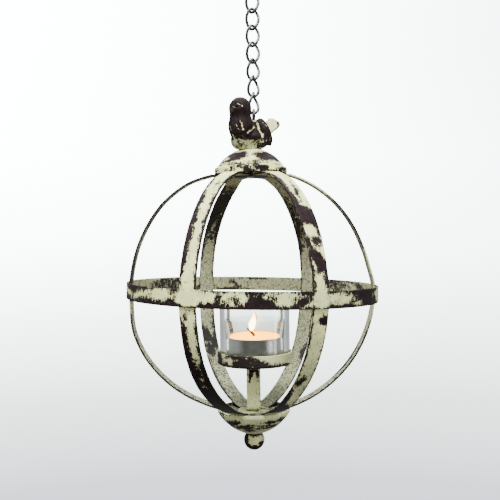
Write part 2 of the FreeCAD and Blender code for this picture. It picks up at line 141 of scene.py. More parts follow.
class Graph:
    """A short hand for building a node tree.

    Each method adds one node and returns its output; a value may be a number or an output."""

    def __init__(self, name, tree=None):
        if tree is None:
            self.material = bpy.data.materials.new(name)
            self.material.use_nodes = True
            tree = self.material.node_tree
        self.tree = tree
        self.tree.nodes.clear()

    def feed(self, socket, value):
        if isinstance(value, bpy.types.NodeSocket):
            self.tree.links.new(value, socket)
        else:
            socket.default_value = value

    def add(self, kind, settings=None, **inputs):
        node = self.tree.nodes.new("ShaderNode" + kind)
        for key, value in (settings or {}).items():
            setattr(node, key, value)
        for key, value in inputs.items():
            self.feed(node.inputs[key.replace("_", " ")], value)
        return node

    def math(self, operation, a, b=0.0):
        node = self.add("Math", {"operation": operation})
        self.feed(node.inputs[0], a)
        self.feed(node.inputs[1], b)
        return node.outputs[0]

    def scaled(self, value, factor, offset=0.0):
        node = self.add("Math", {"operation": "MULTIPLY_ADD"})
        for socket, v in zip(node.inputs, (value, factor, offset)):
            self.feed(socket, v)
        return node.outputs[0]

    def total(self, *values):
        result = values[0]
        for value in values[1:]:
            result = self.math("ADD", result, value)
        return result

    def step(self, value, low, high, to_low=0.0, to_high=1.0):
        node = self.add("MapRange", {"interpolation_type": "SMOOTHSTEP"})
        for socket, v in zip(node.inputs, (value, low, high, to_low, to_high)):
            self.feed(socket, v)
        return node.outputs[0]

    def noise(self, vector, scale, detail, roughness):
        node = self.add("TexNoise", Vector=vector, Scale=scale, Detail=detail,
                        Roughness=roughness)
        return node.outputs[0]

    def stretch(self, vector, factors, shift=(0.0, 0.0, 0.0)):
        node = self.add("Mapping", Vector=vector, Location=shift, Scale=factors)
        return node.outputs[0]

    def mix(self, factor, a, b):
        node = self.add("Mix", {"data_type": "RGBA"})
        for index, value in ((0, factor), (6, a), (7, b)):
            if isinstance(value, tuple):
                value = (*value, 1.0)
            self.feed(node.inputs[index], value)
        return node.outputs[2]

    def attribute(self, name):
        return self.add("Attribute", {"attribute_name": name}).outputs["Vector"]

    def parts(self, vector):
        return self.add("SeparateXYZ", Vector=vector).outputs

    def bump(self, height, distance, strength):
        node = self.add("Bump", Height=height, Distance=distance, Strength=strength)
        return node.outputs[0]

    def finish(self, shader):
        output = self.add("OutputMaterial")
        self.tree.links.new(shader.outputs[0], output.inputs["Surface"])
        return self.material


# The backdrop's light by the sine of the direction up from the hang point.
BACKDROP_STOPS = (
    (-1.0, (1.45, 1.50, 1.68)), (-0.42, (1.62, 1.68, 1.84)), (-0.28, (2.75, 2.95, 2.92)),
    (-0.16, (5.0, 5.6, 5.3)), (-0.04, (8.6, 9.5, 9.3)), (0.08, (11.0, 12.0, 12.0)),
    (1.0, (12.0, 13.0, 13.0)))
# In metres: the floor's height and radius, the cove's radius, and the backdrop's poles.
FLOOR_Z, FLOOR_RADIUS, COVE, POLE = -1.20, 3.2, 1.8, 0.001


def make_world():
    """Studio surroundings for light and reflections: bright behind and above, dim elsewhere."""
    world = bpy.data.worlds.new("studio")
    bpy.context.scene.world = world
    world.use_nodes = True
    graph = Graph("", world.node_tree)
    way = graph.parts(graph.add("TexCoord").outputs["Generated"])
    behind = graph.step(way[1], 0.0, 0.95)
    above = graph.step(way[2], 0.1, 1.0)
    side = graph.step(graph.math("ABSOLUTE", way[0]), 0.75, 1.0)
    level = graph.total(graph.scaled(behind, 0.55, 0.16), graph.scaled(above, 0.8),
                        graph.scaled(side, 0.6))
    background = graph.add("Background", Color=(0.95, 0.98, 1.0, 1.0), Strength=level)
    output = graph.add("OutputWorld")
    graph.tree.links.new(background.outputs[0], output.inputs["Surface"])


def make_backdrop():
    """A pale floor that curves up into a pale wall all round, seen but lighting nothing."""
    outline = [(POLE, FLOOR_Z), (1.5, FLOOR_Z), (FLOOR_RADIUS, FLOOR_Z)]
    outline += [(FLOOR_RADIUS + COVE * math.sin(turn), FLOOR_Z + COVE - COVE * math.cos(turn))
                for turn in np.radians(np.linspace(0, 90, 13)[1:])]
    outline += [(5.0, 1.4), (4.6, 2.6), (3.6, 3.6), (2.0, 4.3), (POLE, 4.5)]
    count = 96
    turns = np.linspace(0, 2 * math.pi, count, endpoint=False)
    verts = [(r * math.sin(t), -r * math.cos(t), z) for r, z in outline for t in turns]
    faces = []
    for row in range(0, (len(outline) - 1) * count, count):
        for k in range(count):
            n = (k + 1) % count
            faces.append((row + k, row + n, row + count + n, row + count + k))
    mesh = bpy.data.meshes.new("floor_and_backdrop")
    mesh.from_pydata(verts, [], faces)
    mesh.shade_smooth()
    wall = bpy.data.objects.new("floor_and_backdrop", mesh)
    bpy.context.scene.collection.objects.link(wall)
    wall.visible_diffuse = wall.visible_glossy = wall.visible_shadow = False
    graph = Graph("pale_backdrop")
    way = graph.add("VectorMath", {"operation": "NORMALIZE"},
                    Vector=graph.add("TexCoord").outputs["Object"])
    across, _, rise = graph.parts(way.outputs[0])
    ramp = graph.add("ValToRGB", Fac=graph.scaled(rise, 0.5, 0.5))
    stops = ramp.color_ramp.elements
    while len(stops) < len(BACKDROP_STOPS):
        stops.new(0.5)
    for stop, (sine, colour) in zip(stops, BACKDROP_STOPS):
        stop.position = sine / 2 + 0.5
        stop.color = (*colour, 1.0)
    # Above the floor the glow grows towards the left: a painted pool of light.
    leftward = graph.math("MULTIPLY", graph.scaled(across, -1.1), graph.step(rise, -0.45, 0.3))
    wall.data.materials.append(graph.finish(
        graph.add("Emission", Color=ramp.outputs[0], Strength=graph.scaled(leftward, 1.0, 1.0))))


def area_light(name, place, target, size, power):
    """A soft box; place and target are mm in the cage frame, size metres, power watts."""
    data = bpy.data.lights.new(name, "AREA")
    data.shape = "RECTANGLE"
    data.size, data.size_y = size
    data.energy = power
    lamp = bpy.data.objects.new(name, data)
    start, end = (Vector(np.array(p) * MM + CAGE) for p in (place, target))
    lamp.location = start
    lamp.rotation_euler = (end - start).to_track_quat("-Z", "Y").to_euler()
    lamp.visible_camera = False
    bpy.context.scene.collection.objects.link(lamp)
    return lamp


make_world()
make_backdrop()
area_light("key_overhead", (-90, -520, 900), (0, 0, 30), (0.75, 0.5), 46.0)
area_light("back_top", (60, 560, 950), (0, 0, 0), (0.9, 0.5), 16.0)
fill = area_light("fill_front", (-100, -1100, -260), (0, 0, -60), (1.1, 0.7), 9.0)
fill.visible_glossy = False
area_light("card_right", (760, -300, 60), (0, 0, -20), (0.16, 0.9), 2.5)
area_light("card_left", (-700, -260, 700), (0, 0, 0), (0.3, 0.5), 2.5)


# ---------------------------------------------------------------- mesh helpers

def grid(rows, cols, closed):
    """Quads over rows of vertices; each row is a ring, and so is each column if closed."""
    i, j = np.meshgrid(np.arange(rows - (not closed)), np.arange(cols), indexing="ij")
    i2, j2 = (i + 1) % rows, (j + 1) % cols
    quads = np.stack([i * cols + j, i2 * cols + j, i2 * cols + j2, i * cols + j2], -1)
    return [tuple(quad) for quad in quads.reshape(-1, 4).tolist()]


def skin(rows, cols, closed):
    """The faces of a swept section: quads, and a flat cap on each open end."""
    faces = grid(rows, cols, closed)
    if not closed:
        faces += [tuple(range(cols))[::-1], tuple(range((rows - 1) * cols, rows * cols))]
    return faces


# The third field darkens the paint: soiling, and painted shade on inner faces and undersides.
def coat_of(paint, specks=0.0, grime_and_shade=0.0):
    """A Form's coat from its three fields, each one number or one for each vertex."""
    return np.stack(np.broadcast_arrays(paint, specks, grime_and_shade), -1)


class Form:
    """Vertices and faces in mm, with the fields that the materials read.

    brush: a point in mm where the paint's noise is looked up, squeezed along the strokes.
    coat:  (paint, specks, soiling and shade): paint runs from -1, bare, to +1, covered; the third
    darkens the cream, as soiling and as painted shade."""

    def __init__(self):
        self.verts, self.faces, self.brush, self.coat, self.count = [], [], [], [], 0

    def add(self, verts, faces, brush=None, coat=None):
        verts = np.asarray(verts, float).reshape(-1, 3)
        brush = verts if brush is None else np.asarray(brush, float).reshape(-1, 3)
        if coat is None:
            coat = np.zeros((len(verts), 3))
        self.verts.append(verts)
        self.brush.append(brush)
        self.coat.append(np.asarray(coat, float).reshape(-1, 3))
        self.faces += [tuple(int(v) + self.count for v in face) for face in faces]
        self.count += len(verts)
        return self


def make_piece(name, form, material, body, slot, *replaced, at=None, smooth_angle=None):
    """Turns a Form into a piece that rides on a body; at is the form's origin, in metres."""
    verts = np.concatenate(form.verts) * MM + (CAGE if at is None else np.array(at))
    mesh = bpy.data.meshes.new(name)
    mesh.from_pydata(verts.tolist(), [], form.faces)
    for key, rows in (("brush", form.brush), ("coat", form.coat)):
        layer = mesh.attributes.new(key, "FLOAT_VECTOR", "POINT")
        layer.data.foreach_set("vector", np.concatenate(rows).astype(np.float32).ravel())
    mesh.validate()
    turn_outward(mesh)
    mesh.shade_smooth()
    if smooth_angle is not None:
        mesh.set_sharp_from_angle(angle=math.radians(smooth_angle))
    mesh.materials.append(material)
    piece = bpy.data.objects.new(name, mesh)
    bpy.context.scene.collection.objects.link(piece)
    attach(piece, body)
    if replaced:
        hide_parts(*replaced)
    return piece


def iron_piece(name, node, form):
    make_piece(name, form, IRON, "lantern", "painted_iron", node)


def turn_outward(mesh):
    work = bmesh.new()
    work.from_mesh(mesh)
    bmesh.ops.recalc_face_normals(work, faces=work.faces)
    work.to_mesh(mesh)
    work.free()


def rounded(corners, spacing, closed=True):
    """Points along a polyline whose corners, given as (x, z, radius), are rounded."""
    corners = [tuple(c) + (0.0,) * (3 - len(c)) for c in corners]
    count = len(corners)
    pieces = []
    for k, (x, z, radius) in enumerate(corners):
        here = np.array([x, z])
        if radius <= 0 or (not closed and k in (0, count - 1)):
            pieces.append([here])
            continue
        before = np.array(corners[k - 1][:2]) - here
        after = np.array(corners[(k + 1) % count][:2]) - here
        reach = min(np.linalg.norm(before), np.linalg.norm(after)) * 0.49
        a, b = before / np.linalg.norm(before), after / np.linalg.norm(after)
        half = math.acos(float(np.clip(a @ b, -1, 1))) / 2
        if half > math.radians(89.5):
            pieces.append([here])
            continue
        cut = min(radius / math.tan(half), reach)
        radius = cut * math.tan(half)
        centre = here + (a + b) / np.linalg.norm(a + b) * math.hypot(cut, radius)
        start, end = here + a * cut - centre, here + b * cut - centre
        turn = math.acos(float(np.clip(start @ end / radius ** 2, -1, 1)))
        steps = max(3, int(math.ceil(turn / math.radians(18))))
        points = []
        for t in np.linspace(0, 1, steps + 1):
            mixed = math.sin((1 - t) * turn) * start + math.sin(t * turn) * end
            points.append(centre + mixed / math.sin(turn))
        pieces.append(points)
    path = []
    for k, points in enumerate(pieces):
        path += points
        if not closed and k == count - 1:
            break
        gap = pieces[(k + 1) % count][0] - points[-1]
        steps = int(np.linalg.norm(gap) // spacing)
        path += [points[-1] + gap * s / (steps + 1) for s in range(1, steps + 1)]
    return np.array(path)


def arc(centre, radius, start, end, count):
    """(x, z, 0) points on a circle, angles in degrees from +X."""
    turns = np.radians(np.linspace(start, end, count))
    return [(centre[0] + radius * math.cos(t), centre[1] + radius * math.sin(t), 0.0)
            for t in turns]


def arc_through(a, b, c, count):
    """(x, z, 0) points from a to c on the circle through a, b and c."""
    (ax, ay), (bx, by), (cx, cy) = a, b, c
    d = 2 * (ax * (by - cy) + bx * (cy - ay) + cx * (ay - by))
    aa, bb, cc = ax**2 + ay**2, bx**2 + by**2, cx**2 + cy**2
    ux = (aa * (by - cy) + bb * (cy - ay) + cc * (ay - by)) / d
    uy = (aa * (cx - bx) + bb * (ax - cx) + cc * (bx - ax)) / d
    start, end = (math.degrees(math.atan2(y - uy, x - ux)) for x, y in (a, c))
    end = start + (end - start + 180) % 360 - 180
    return arc((ux, uy), math.hypot(ax - ux, ay - uy), start, end, count)


class Turned:
    """A turned form: the fields of each vertex as flat arrays, and its faces.

    profile holds (radius, height) points; it runs from pole to pole unless it is closed.
    m is the distance along the profile, and degrees the place round it from the front."""

    def __init__(self, profile, segments, centre=(0.0, 0.0), wobble=0.0, closed=True, seed=1):
        profile = np.asarray(profile, float)
        poles = not closed
        rings = profile[1:-1] if poles else profile
        turns = np.linspace(0, 2 * math.pi, segments, endpoint=False)
        r, t = np.meshgrid(rings[:, 0], turns, indexing="ij")
        z = np.repeat(rings[:, 1][:, None], segments, 1)
        rng = np.random.default_rng(seed)
        for wave in (2, 3, 5):
            phase, tilt = rng.uniform(0, 6.28, 2)
            r = r * (1 + wobble * math.sqrt(1 / wave)
                     * np.cos(wave * t + phase + 0.02 * tilt * z))
        self.theta, self.r, self.z = t.ravel(), r.ravel(), z.ravel()
        steps = np.linalg.norm(np.diff(profile, axis=0), axis=1)
        along = np.concatenate([[0], np.cumsum(steps)])
        along = along[1:-1] if poles else along
        self.m = np.repeat(along[:, None], segments, 1).ravel()
        self.faces = grid(len(rings), segments, closed)
        if poles:
            for (_, end_z), row, flip in ((profile[0], 0, False),
                                          (profile[-1], len(rings) - 1, True)):
                pole = len(self.theta)
                self.theta, self.r = np.append(self.theta, 0.0), np.append(self.r, 0.0)
                self.z, self.m = np.append(self.z, end_z), np.append(self.m, along[row])
                for k in range(segments):
                    a, b = row * segments + k, row * segments + (k + 1) % segments
                    self.faces.append((pole, b, a) if flip else (pole, a, b))
        self.x = centre[0] + self.r * np.sin(self.theta)
        self.y = centre[1] - self.r * np.cos(self.theta)
        self.degrees = (np.degrees(self.theta) + 180) % 360 - 180

    def verts(self):
        return np.stack([self.x, self.y, self.z], -1)

    def strokes(self, round_squeeze, up_squeeze):
        """Brush points whose strokes run round the form, or up it."""
        reference = np.maximum(self.r, 3.0) * round_squeeze
        return np.stack([2 * self.m * up_squeeze, reference * np.sin(self.theta),
                         reference * np.cos(self.theta)], -1)

    def form(self, brush=None, coat=None):
        return Form().add(self.verts(), self.faces, brush, coat)


def bar_section(width, thickness, corner, across):
    """A flat bar's outline as (across, out) pairs in mm."""
    w, t = width / 2 - corner, thickness / 2 - corner
    points = []
    for side in (1, -1):
        points += [(side * x, side * thickness / 2) for x in np.linspace(-w, w, across)]
        for out, turns in ((side, (60, 30, 0)), (-side, (0, 30, 60))):
            points += [(side * (w + corner * math.cos(a)), out * (t + corner * math.sin(a)))
                       for a in np.radians(turns)]
    return np.array(points)


def loft(points, side, normal, section, closed):
    """Sweeps a section along points; side and normal are (N, 3) unit vectors."""
    verts = (points[:, None, :] + side[:, None, :] * section[None, :, 0:1]
             + normal[:, None, :] * section[None, :, 1:2])
    return verts, skin(*verts.shape[:2], closed)


def spread(along, section, thickness):
    """For each vertex of a loft: its place along, across, and out from -1 to 1."""
    return np.broadcast_arrays(along[:, None], section[None, :, 0],
                               section[None, :, 1] / (thickness / 2))


def resample(path, spacing):
    """The same path as evenly spaced points."""
    steps = np.linalg.norm(np.diff(path, axis=0), axis=1)
    lengths = np.concatenate([[0], np.cumsum(steps)])
    count = int(round(lengths[-1] / spacing)) + 1
    at = np.linspace(0, lengths[-1], count)
    return np.stack([np.interp(at, lengths, path[:, k]) for k in range(path.shape[1])], -1)


def tangents(path):
    """Unit directions along an open path."""
    ways = np.gradient(path, axis=0)
    return ways / np.linalg.norm(ways, axis=1)[:, None]


def tube(path, radius, around=20, closed=False):
    """A round wire along a path of points; radius is one number or one for each point."""
    path = np.asarray(path, float)
    radius = np.broadcast_to(np.asarray(radius, float), (len(path),)).copy()
    if closed:
        tangent = np.roll(path, -1, 0) - np.roll(path, 1, 0)
        tangent /= np.linalg.norm(tangent, axis=1)[:, None]
    else:  # each end is rounded by rings that shrink towards it
        tangent = tangents(path)
        steps = np.radians([88, 70, 50, 30, 15])
        head = [path[0] - tangent[0] * radius[0] * math.sin(a) for a in steps]
        tail = [path[-1] + tangent[-1] * radius[-1] * math.sin(a) for a in steps[::-1]]
        radius = np.concatenate([radius[0] * np.cos(steps), radius,
                                 radius[-1] * np.cos(steps[::-1])])
        path = np.concatenate([head, path, tail])
        tangent = np.pad(tangent, ((len(steps), len(steps)), (0, 0)), mode="edge")
    first = np.cross(tangent[0], [0.3, 0.2, 0.9])
    first /= np.linalg.norm(first)
    frames = [first]
    for k in range(1, len(path)):
        v = frames[-1] - tangent[k] * (frames[-1] @ tangent[k])
        frames.append(v / np.linalg.norm(v))
    frames = np.array(frames)
    twist = 0.0
    if closed:  # spread the frame's turn over the loop, so that its ends meet
        last = frames[-1] - tangent[0] * (frames[-1] @ tangent[0])
        other = np.cross(tangent[0], first)
        twist = math.atan2(last @ other, last @ first)
    cross = np.cross(tangent, frames)
    share = np.arange(len(path)) / len(path)
    turns = np.linspace(0, 2 * math.pi, around, endpoint=False)
    angle = turns[None, :] - (twist * share)[:, None]
    verts = path[:, None, :] + radius[:, None, None] * (
        np.cos(angle)[..., None] * frames[:, None, :]
        + np.sin(angle)[..., None] * cross[:, None, :])
    return verts.reshape(-1, 3), skin(len(path), around, closed)


def ripple(position, seed, period, size):
    """A smooth seeded wave over positions in mm."""
    rng = np.random.default_rng(seed)
    total = np.zeros_like(position)
    for k in range(5):
        scale = 1.0 + 0.6 * k
        total += np.sin(position * 2 * math.pi * scale / period + rng.uniform(0, 6.28)) / scale
    return total * size / 2


# ---------------------------------------------------------------- paint layout

def depth_in(a, b, patch):
    """How deep (a, b) lies inside an elliptical patch, in mm: (a, b, half a, half b, turn)."""
    middle_a, middle_b, half_a, half_b, *turned = patch
    turn = math.radians(turned[0]) if turned else 0.0
    da, db = a - middle_a, b - middle_b
    p = da * math.cos(turn) + db * math.sin(turn)
    q = -da * math.sin(turn) + db * math.cos(turn)
    return (1 - np.hypot(p / half_a, q / half_b)) * min(half_a, half_b)


def layout(a, b, base, patches, soft):
    """Paint from patches laid one over the other: (kind, a, b, half a, half b, turn).

    "on" lays paint, "off" takes it away and "worn" leaves it mottled; soft is the distance
    in mm over which a patch goes from bare to covered, before the noise."""
    field = np.full(np.shape(a), float(base))
    for kind, *patch in patches:
        depth = np.clip(depth_in(a, b, patch) / soft, -1, 1.7)
        if kind == "on":
            field = np.maximum(field, depth)
        elif kind == "worn":
            mottled = np.minimum(field, 0.28 - 0.38 * np.minimum(depth, 1))
            field = np.where(depth > 0, mottled, field)
        else:
            field = np.minimum(field, -depth)
    return field


def in_mm(patches, first, second=1.0):
    """Patches with their two directions scaled to mm."""
    return [(kind, a * first, b * second, half_a * first, half_b * second, *turn)
            for kind, a, b, half_a, half_b, *turn in patches]


def laid_round(around, height, table, degree, soft):
    """Paint from a table's patches in degrees and mm round a form; degree is its mm.

    Each patch is laid one turn to each side too, so that nothing ends at the back."""
    base, patches = table
    laid = [(kind, a + shift * degree, *rest) for kind, a, *rest in in_mm(patches, degree)
            for shift in (-360, 0, 360)]
    return layout(around, height, base, laid, soft)


# ---------------------------------------------------------------- materials

CREAM, CREAM_PALE = (0.55, 0.575, 0.25), (0.66, 0.69, 0.31)
# The first colour here is a darker cream for inner faces, undersides and low parts: soiling with
# painted shade.
GRIME_AND_SHADE, STAIN, STREAK = (0.172, 0.182, 0.142), (0.24, 0.215, 0.16), (0.36, 0.33, 0.22)
PLUM, PLUM_DEEP = (0.0125, 0.0066, 0.0072), (0.0066, 0.0040, 0.0043)
SCUFF = (0.032, 0.027, 0.028)
SOOT = (0.017, 0.0168, 0.0145)


def painted_iron():
    """Cream chalk paint, rubbed and chipped through to dark iron, and darkened by soiling and
    painted shade.
    """
    graph = Graph("painted_iron")
    brush = graph.attribute("brush")
    paint, specks, grime_and_shade = graph.parts(graph.attribute("coat"))
    broad = graph.noise(brush, 0.30, 6.0, 0.66)
    fine = graph.noise(brush, 1.5, 4.0, 0.6)
    strokes = graph.noise(graph.stretch(brush, (0.28, 1.5, 1.5)), 1.0, 3.0, 0.6)
    cover = graph.total(paint, graph.scaled(broad, 3.0, -1.72), graph.scaled(fine, 2.6, -1.3),
                        graph.scaled(strokes, 2.6, -1.3))
    covered = graph.step(cover, -0.07, 0.07)
    thin = graph.step(cover, -0.85, 0.0)
    near_chip = graph.step(cover, 0.45, 0.02)
    spot_noise = graph.noise(graph.stretch(brush, (1, 1, 1), (31, 7, 3)), 1.25, 2.0, 0.5)
    spot_edge = graph.scaled(specks, -0.22, 0.80)
    spots = graph.step(graph.math("SUBTRACT", spot_noise, spot_edge), -0.012, 0.02)
    mask = graph.math("MULTIPLY", covered, graph.scaled(spots, -1.0, 1.0))
    patchy = graph.noise(brush, 0.07, 3.0, 0.6)
    cream = graph.mix(graph.step(patchy, 0.38, 0.62), CREAM, CREAM_PALE)
    # The third coat field darkens the cream and neutralises bare iron: soiling and painted shade.
    dirt_and_shade_noise = graph.noise(graph.stretch(brush, (1, 1, 1), (5, 11, 17)), 0.5, 5.0, 0.7)
    dirt_and_shade = graph.math("MULTIPLY", grime_and_shade, graph.step(dirt_and_shade_noise, 0.25, 0.62, 0.55, 1.0))
    cream = graph.mix(dirt_and_shade, cream, GRIME_AND_SHADE)
    cream = graph.mix(graph.scaled(near_chip, 0.30), cream, STAIN)
    cream = graph.mix(graph.step(strokes, 0.52, 0.75, 0.0, 0.16), cream, STREAK)
    metal = graph.mix(graph.step(broad, 0.40, 0.60), PLUM_DEEP, PLUM)
    metal = graph.mix(graph.step(grime_and_shade, 0.55, 0.75), metal, SOOT)
    scuffed = graph.math("MULTIPLY", thin, graph.step(strokes, 0.42, 0.66))
    metal = graph.mix(graph.scaled(scuffed, 0.55), metal, SCUFF)
    colour = graph.mix(mask, metal, cream)
    roughness = graph.total(graph.scaled(mask, 0.10, 0.58), graph.scaled(fine, 0.18, -0.09))
    height = graph.total(mask, graph.scaled(fine, 0.35), graph.scaled(strokes, 0.45))
    return graph.finish(graph.add(
        "BsdfPrincipled", Base_Color=colour, Roughness=roughness, Specular_IOR_Level=0.06,
        Normal=graph.bump(height, 0.00009, 0.9)))


def bright_steel(name, base, dull, roughness, tarnish, relief=0.6, glancing=1.0):
    """Plated metal: worn bright, dull in patches, with faint drawing lines.

    tarnish is how dull the patches get, and glancing is the tint seen along the surface."""
    graph = Graph(name)
    brush = graph.attribute("brush")
    mottle = graph.noise(brush, 0.45, 4.0, 0.6)
    lines = graph.noise(graph.stretch(brush, (0.4, 3.0, 3.0)), 2.2, 2.0, 0.5)
    dark = graph.step(mottle, 0.48, 0.64, 0.0, tarnish)
    colour = graph.mix(dark, base, dull)
    rough = graph.total(graph.scaled(mottle, 0.16, roughness - 0.08), graph.scaled(dark, 0.3))
    height = graph.total(mottle, graph.scaled(lines, 0.6))
    return graph.finish(graph.add(
        "BsdfPrincipled", Base_Color=colour, Roughness=rough, Metallic=1.0,
        Specular_Tint=(glancing, glancing, glancing, 1.0),
        Normal=graph.bump(height, 0.00003, relief)))


def clear_glass():
    """Pressed glass with a slow ripple, darker and greener where it is seen edge on: a green tint
    with painted shade.
    """
    graph = Graph("cup_glass")
    waves = graph.noise(graph.attribute("brush"), 0.06, 1.0, 0.4)
    # Seen edge on, the glass turns darker and green: partly a green tint, partly painted shade.
    edge = graph.step(graph.add("LayerWeight", Blend=0.5).outputs["Facing"], 0.25, 0.95)
    tint = graph.mix(edge, (0.84, 0.88, 0.855), (0.50, 0.57, 0.53))
    return graph.finish(graph.add(
        "BsdfPrincipled", Base_Color=tint, Roughness=0.0, IOR=1.5, Transmission_Weight=1.0,
        Normal=graph.bump(waves, 0.0002, 0.5)))


def candle_wax():
    """Warm white wax, glowing where the flame lights it from within."""
    graph = Graph("candle_wax")
    brush = graph.attribute("brush")
    glow, melt, _ = graph.parts(graph.attribute("coat"))
    cloud = graph.noise(brush, 0.25, 4.0, 0.6)
    clouded = graph.step(cloud, 0.35, 0.65)
    colour = graph.mix(clouded, (0.17, 0.085, 0.025), (0.22, 0.115, 0.035))
    rough = graph.scaled(melt, -0.30, 0.60)
    light = graph.mix(glow, (1.0, 0.33, 0.0), (1.0, 0.45, 0.0))
    return graph.finish(graph.add(
        "BsdfPrincipled", Base_Color=colour, Roughness=rough, Specular_IOR_Level=0.2,
        Emission_Color=light, Emission_Strength=9.0, Subsurface_Weight=0.3,
        Subsurface_Radius=(1.0, 0.45, 0.22), Subsurface_Scale=0.004,
        Normal=graph.bump(cloud, 0.0001, 0.6)))


def charred_wick():
    """Pale plied cotton, burnt black above the wax."""
    graph = Graph("wick_cotton")
    brush = graph.attribute("brush")
    burnt = graph.parts(graph.attribute("coat"))[0]
    ply = graph.noise(brush, 2.5, 3.0, 0.6)
    pale = graph.mix(ply, (0.30, 0.26, 0.20), (0.55, 0.48, 0.38))
    char = graph.mix(ply, (0.002, 0.002, 0.002), (0.012, 0.008, 0.007))
    colour = graph.mix(burnt, pale, char)
    return graph.finish(graph.add("BsdfPrincipled", Base_Color=colour, Roughness=0.9,
                                  Normal=graph.bump(ply, 0.0001, 1.0)))


def flame_light(name, strength, alpha):
    """Glowing gas: faint low down, then pale yellow, orange at the tip."""
    graph = Graph(name)
    height = graph.parts(graph.attribute("coat"))[0]
    flicker = graph.noise(graph.attribute("brush"), 0.35, 2.0, 0.5)
    level = graph.total(height, graph.scaled(flicker, 0.16, -0.08))
    colour = graph.mix(graph.step(level, 0.30, 0.90), (1.0, 0.80, 0.42), (1.0, 0.48, 0.10))
    colour = graph.mix(graph.step(level, 0.12, 0.0), colour, (0.85, 0.45, 0.25))
    return graph.finish(graph.add(
        "BsdfPrincipled", Base_Color=(0.0, 0.0, 0.0, 1.0), Roughness=1.0,
        Specular_IOR_Level=0.0, Emission_Color=colour, Emission_Strength=strength, Alpha=alpha))


IRON = painted_iron()
CHAIN = bright_steel("chain_steel", base=(0.105, 0.103, 0.095), dull=(0.04, 0.037, 0.032),
                     roughness=0.52, tarnish=0.9, relief=0.25, glancing=0.3)
ZINC = bright_steel("zinc_steel", base=(0.42, 0.42, 0.40), dull=(0.15, 0.13, 0.10),
                    roughness=0.42, tarnish=0.9)
TIN = bright_steel("tin_aluminium", base=(0.44, 0.445, 0.42), dull=(0.33, 0.33, 0.31),
                   roughness=0.30, tarnish=0.35, relief=0.12)
GLASS = clear_glass()
WAX = candle_wax()
WICK = charred_wick()
FLAME = flame_light("flame_core", 42.0, 1.0)
HALO = flame_light("flame_edge", 3.6, 0.60)


# ---------------------------------------------------------------- cage strips

LAT = 1.514  # mm along a strip for one degree of latitude
HALF = RIB_WIDTH / 2
BOW_BLEND = 19  # mm along a strip over which its bends are smoothed

# Each strip's outer and inner face: how covered it is, and the patches on it.  A patch's
# first number is the latitude in degrees and the second the place across the strip, from -1
# to 1; then come the half sizes in the same units, and the turn.
RIB_OUTER = {
    "rib_front_left": (1.25, [
        ("off", 58, -1.25, 9, 0.48), ("off", 45, -1.15, 7, 0.80), ("off", 36, -1.1, 7, 0.92),
        ("off", 27, -1.15, 6, 0.98), ("off", 19, -1.15, 6, 0.90), ("off", 10, -1.2, 4, 0.42),
        ("off", 30, 1.2, 28, 0.40), ("off", 57, 0.2, 0.9, 0.10), ("off", 34, -1.2, 31, 0.64),
        ("off", 3, -1.2, 6, 0.30), ("off", -36, 0.0, 18, 3.0), ("off", -17, -1.1, 10, 0.85),
        ("off", -18, 1.15, 12, 0.38), ("off", -52, 0.0, 17, 3.0), ("on", -80, 0.0, 9, 2.5),
        ("on", -14, 0.22, 13, 0.50), ("on", -24, 0.42, 5, 0.26), ("on", -36, 0.2, 1.3, 0.25),
        ("on", -41, -0.1, 1.3, 0.22), ("off", -1.2, -0.1, 1.3, 0.22),
        ("off", -8, -0.4, 2.4, 0.16, 30)]),
    "rib_front_right": (0.95, [
        ("off", 49, 0.1, 4.5, 0.17, 8), ("off", 56, -1.15, 13, 0.62), ("off", 44, -1.1, 6, 0.80),
        ("off", 35.5, 0.05, 4.7, 2.4, 42), ("off", 31, 1.0, 5, 0.5),
        ("on", 28.3, -0.2, 3.4, 0.9, 42), ("off", 23.6, 0.2, 2.4, 0.60),
        ("off", 23.5, -0.85, 2.2, 0.40), ("on", 19.6, 0.85, 4.0, 0.16, -20),
        ("off", 15.5, 0.1, 7.4, 0.66, -33), ("off", 8.5, 1.0, 5.0, 0.50),
        ("off", 9, -1.05, 12, 0.30), ("off", 11.5, -0.1, 1.8, 0.22, 40),
        ("off", -9, 0.6, 1.7, 0.75), ("off", -24, 1.2, 17, 0.30), ("off", -20, -1.25, 16, 0.30),
        ("off", -45, 1.15, 16, 0.32), ("off", -52, -1.0, 9, 0.60), ("off", -38, -0.4, 3, 0.4, 20),
        ("off", -62, -0.4, 6, 1.2), ("on", -80, 0, 9, 2.5)]),
    "rib_left": (-0.35, [("on", 30, 0, 14, 0.7), ("on", -20, 0.2, 18, 0.6),
                         ("on", 60, 0, 7, 0.8)]),
    "rib_right": (0.2, [("on", 60, 0, 14, 1.2), ("on", 4, 0, 16, 1.1), ("off", 30, 0.1, 9, 1.2)]),
    "rib_back_right": (0.55, [("off", 46, 0.2, 8, 0.9), ("off", -30, -0.5, 10, 0.7),
                              ("off", 12, 0.8, 9, 0.5)]),
    "rib_back_left": (0.6, [("off", 30, -0.5, 10, 0.7), ("off", 5, 0.9, 8, 0.5),
                            ("off", -48, 0.1, 12, 0.9)]),
}
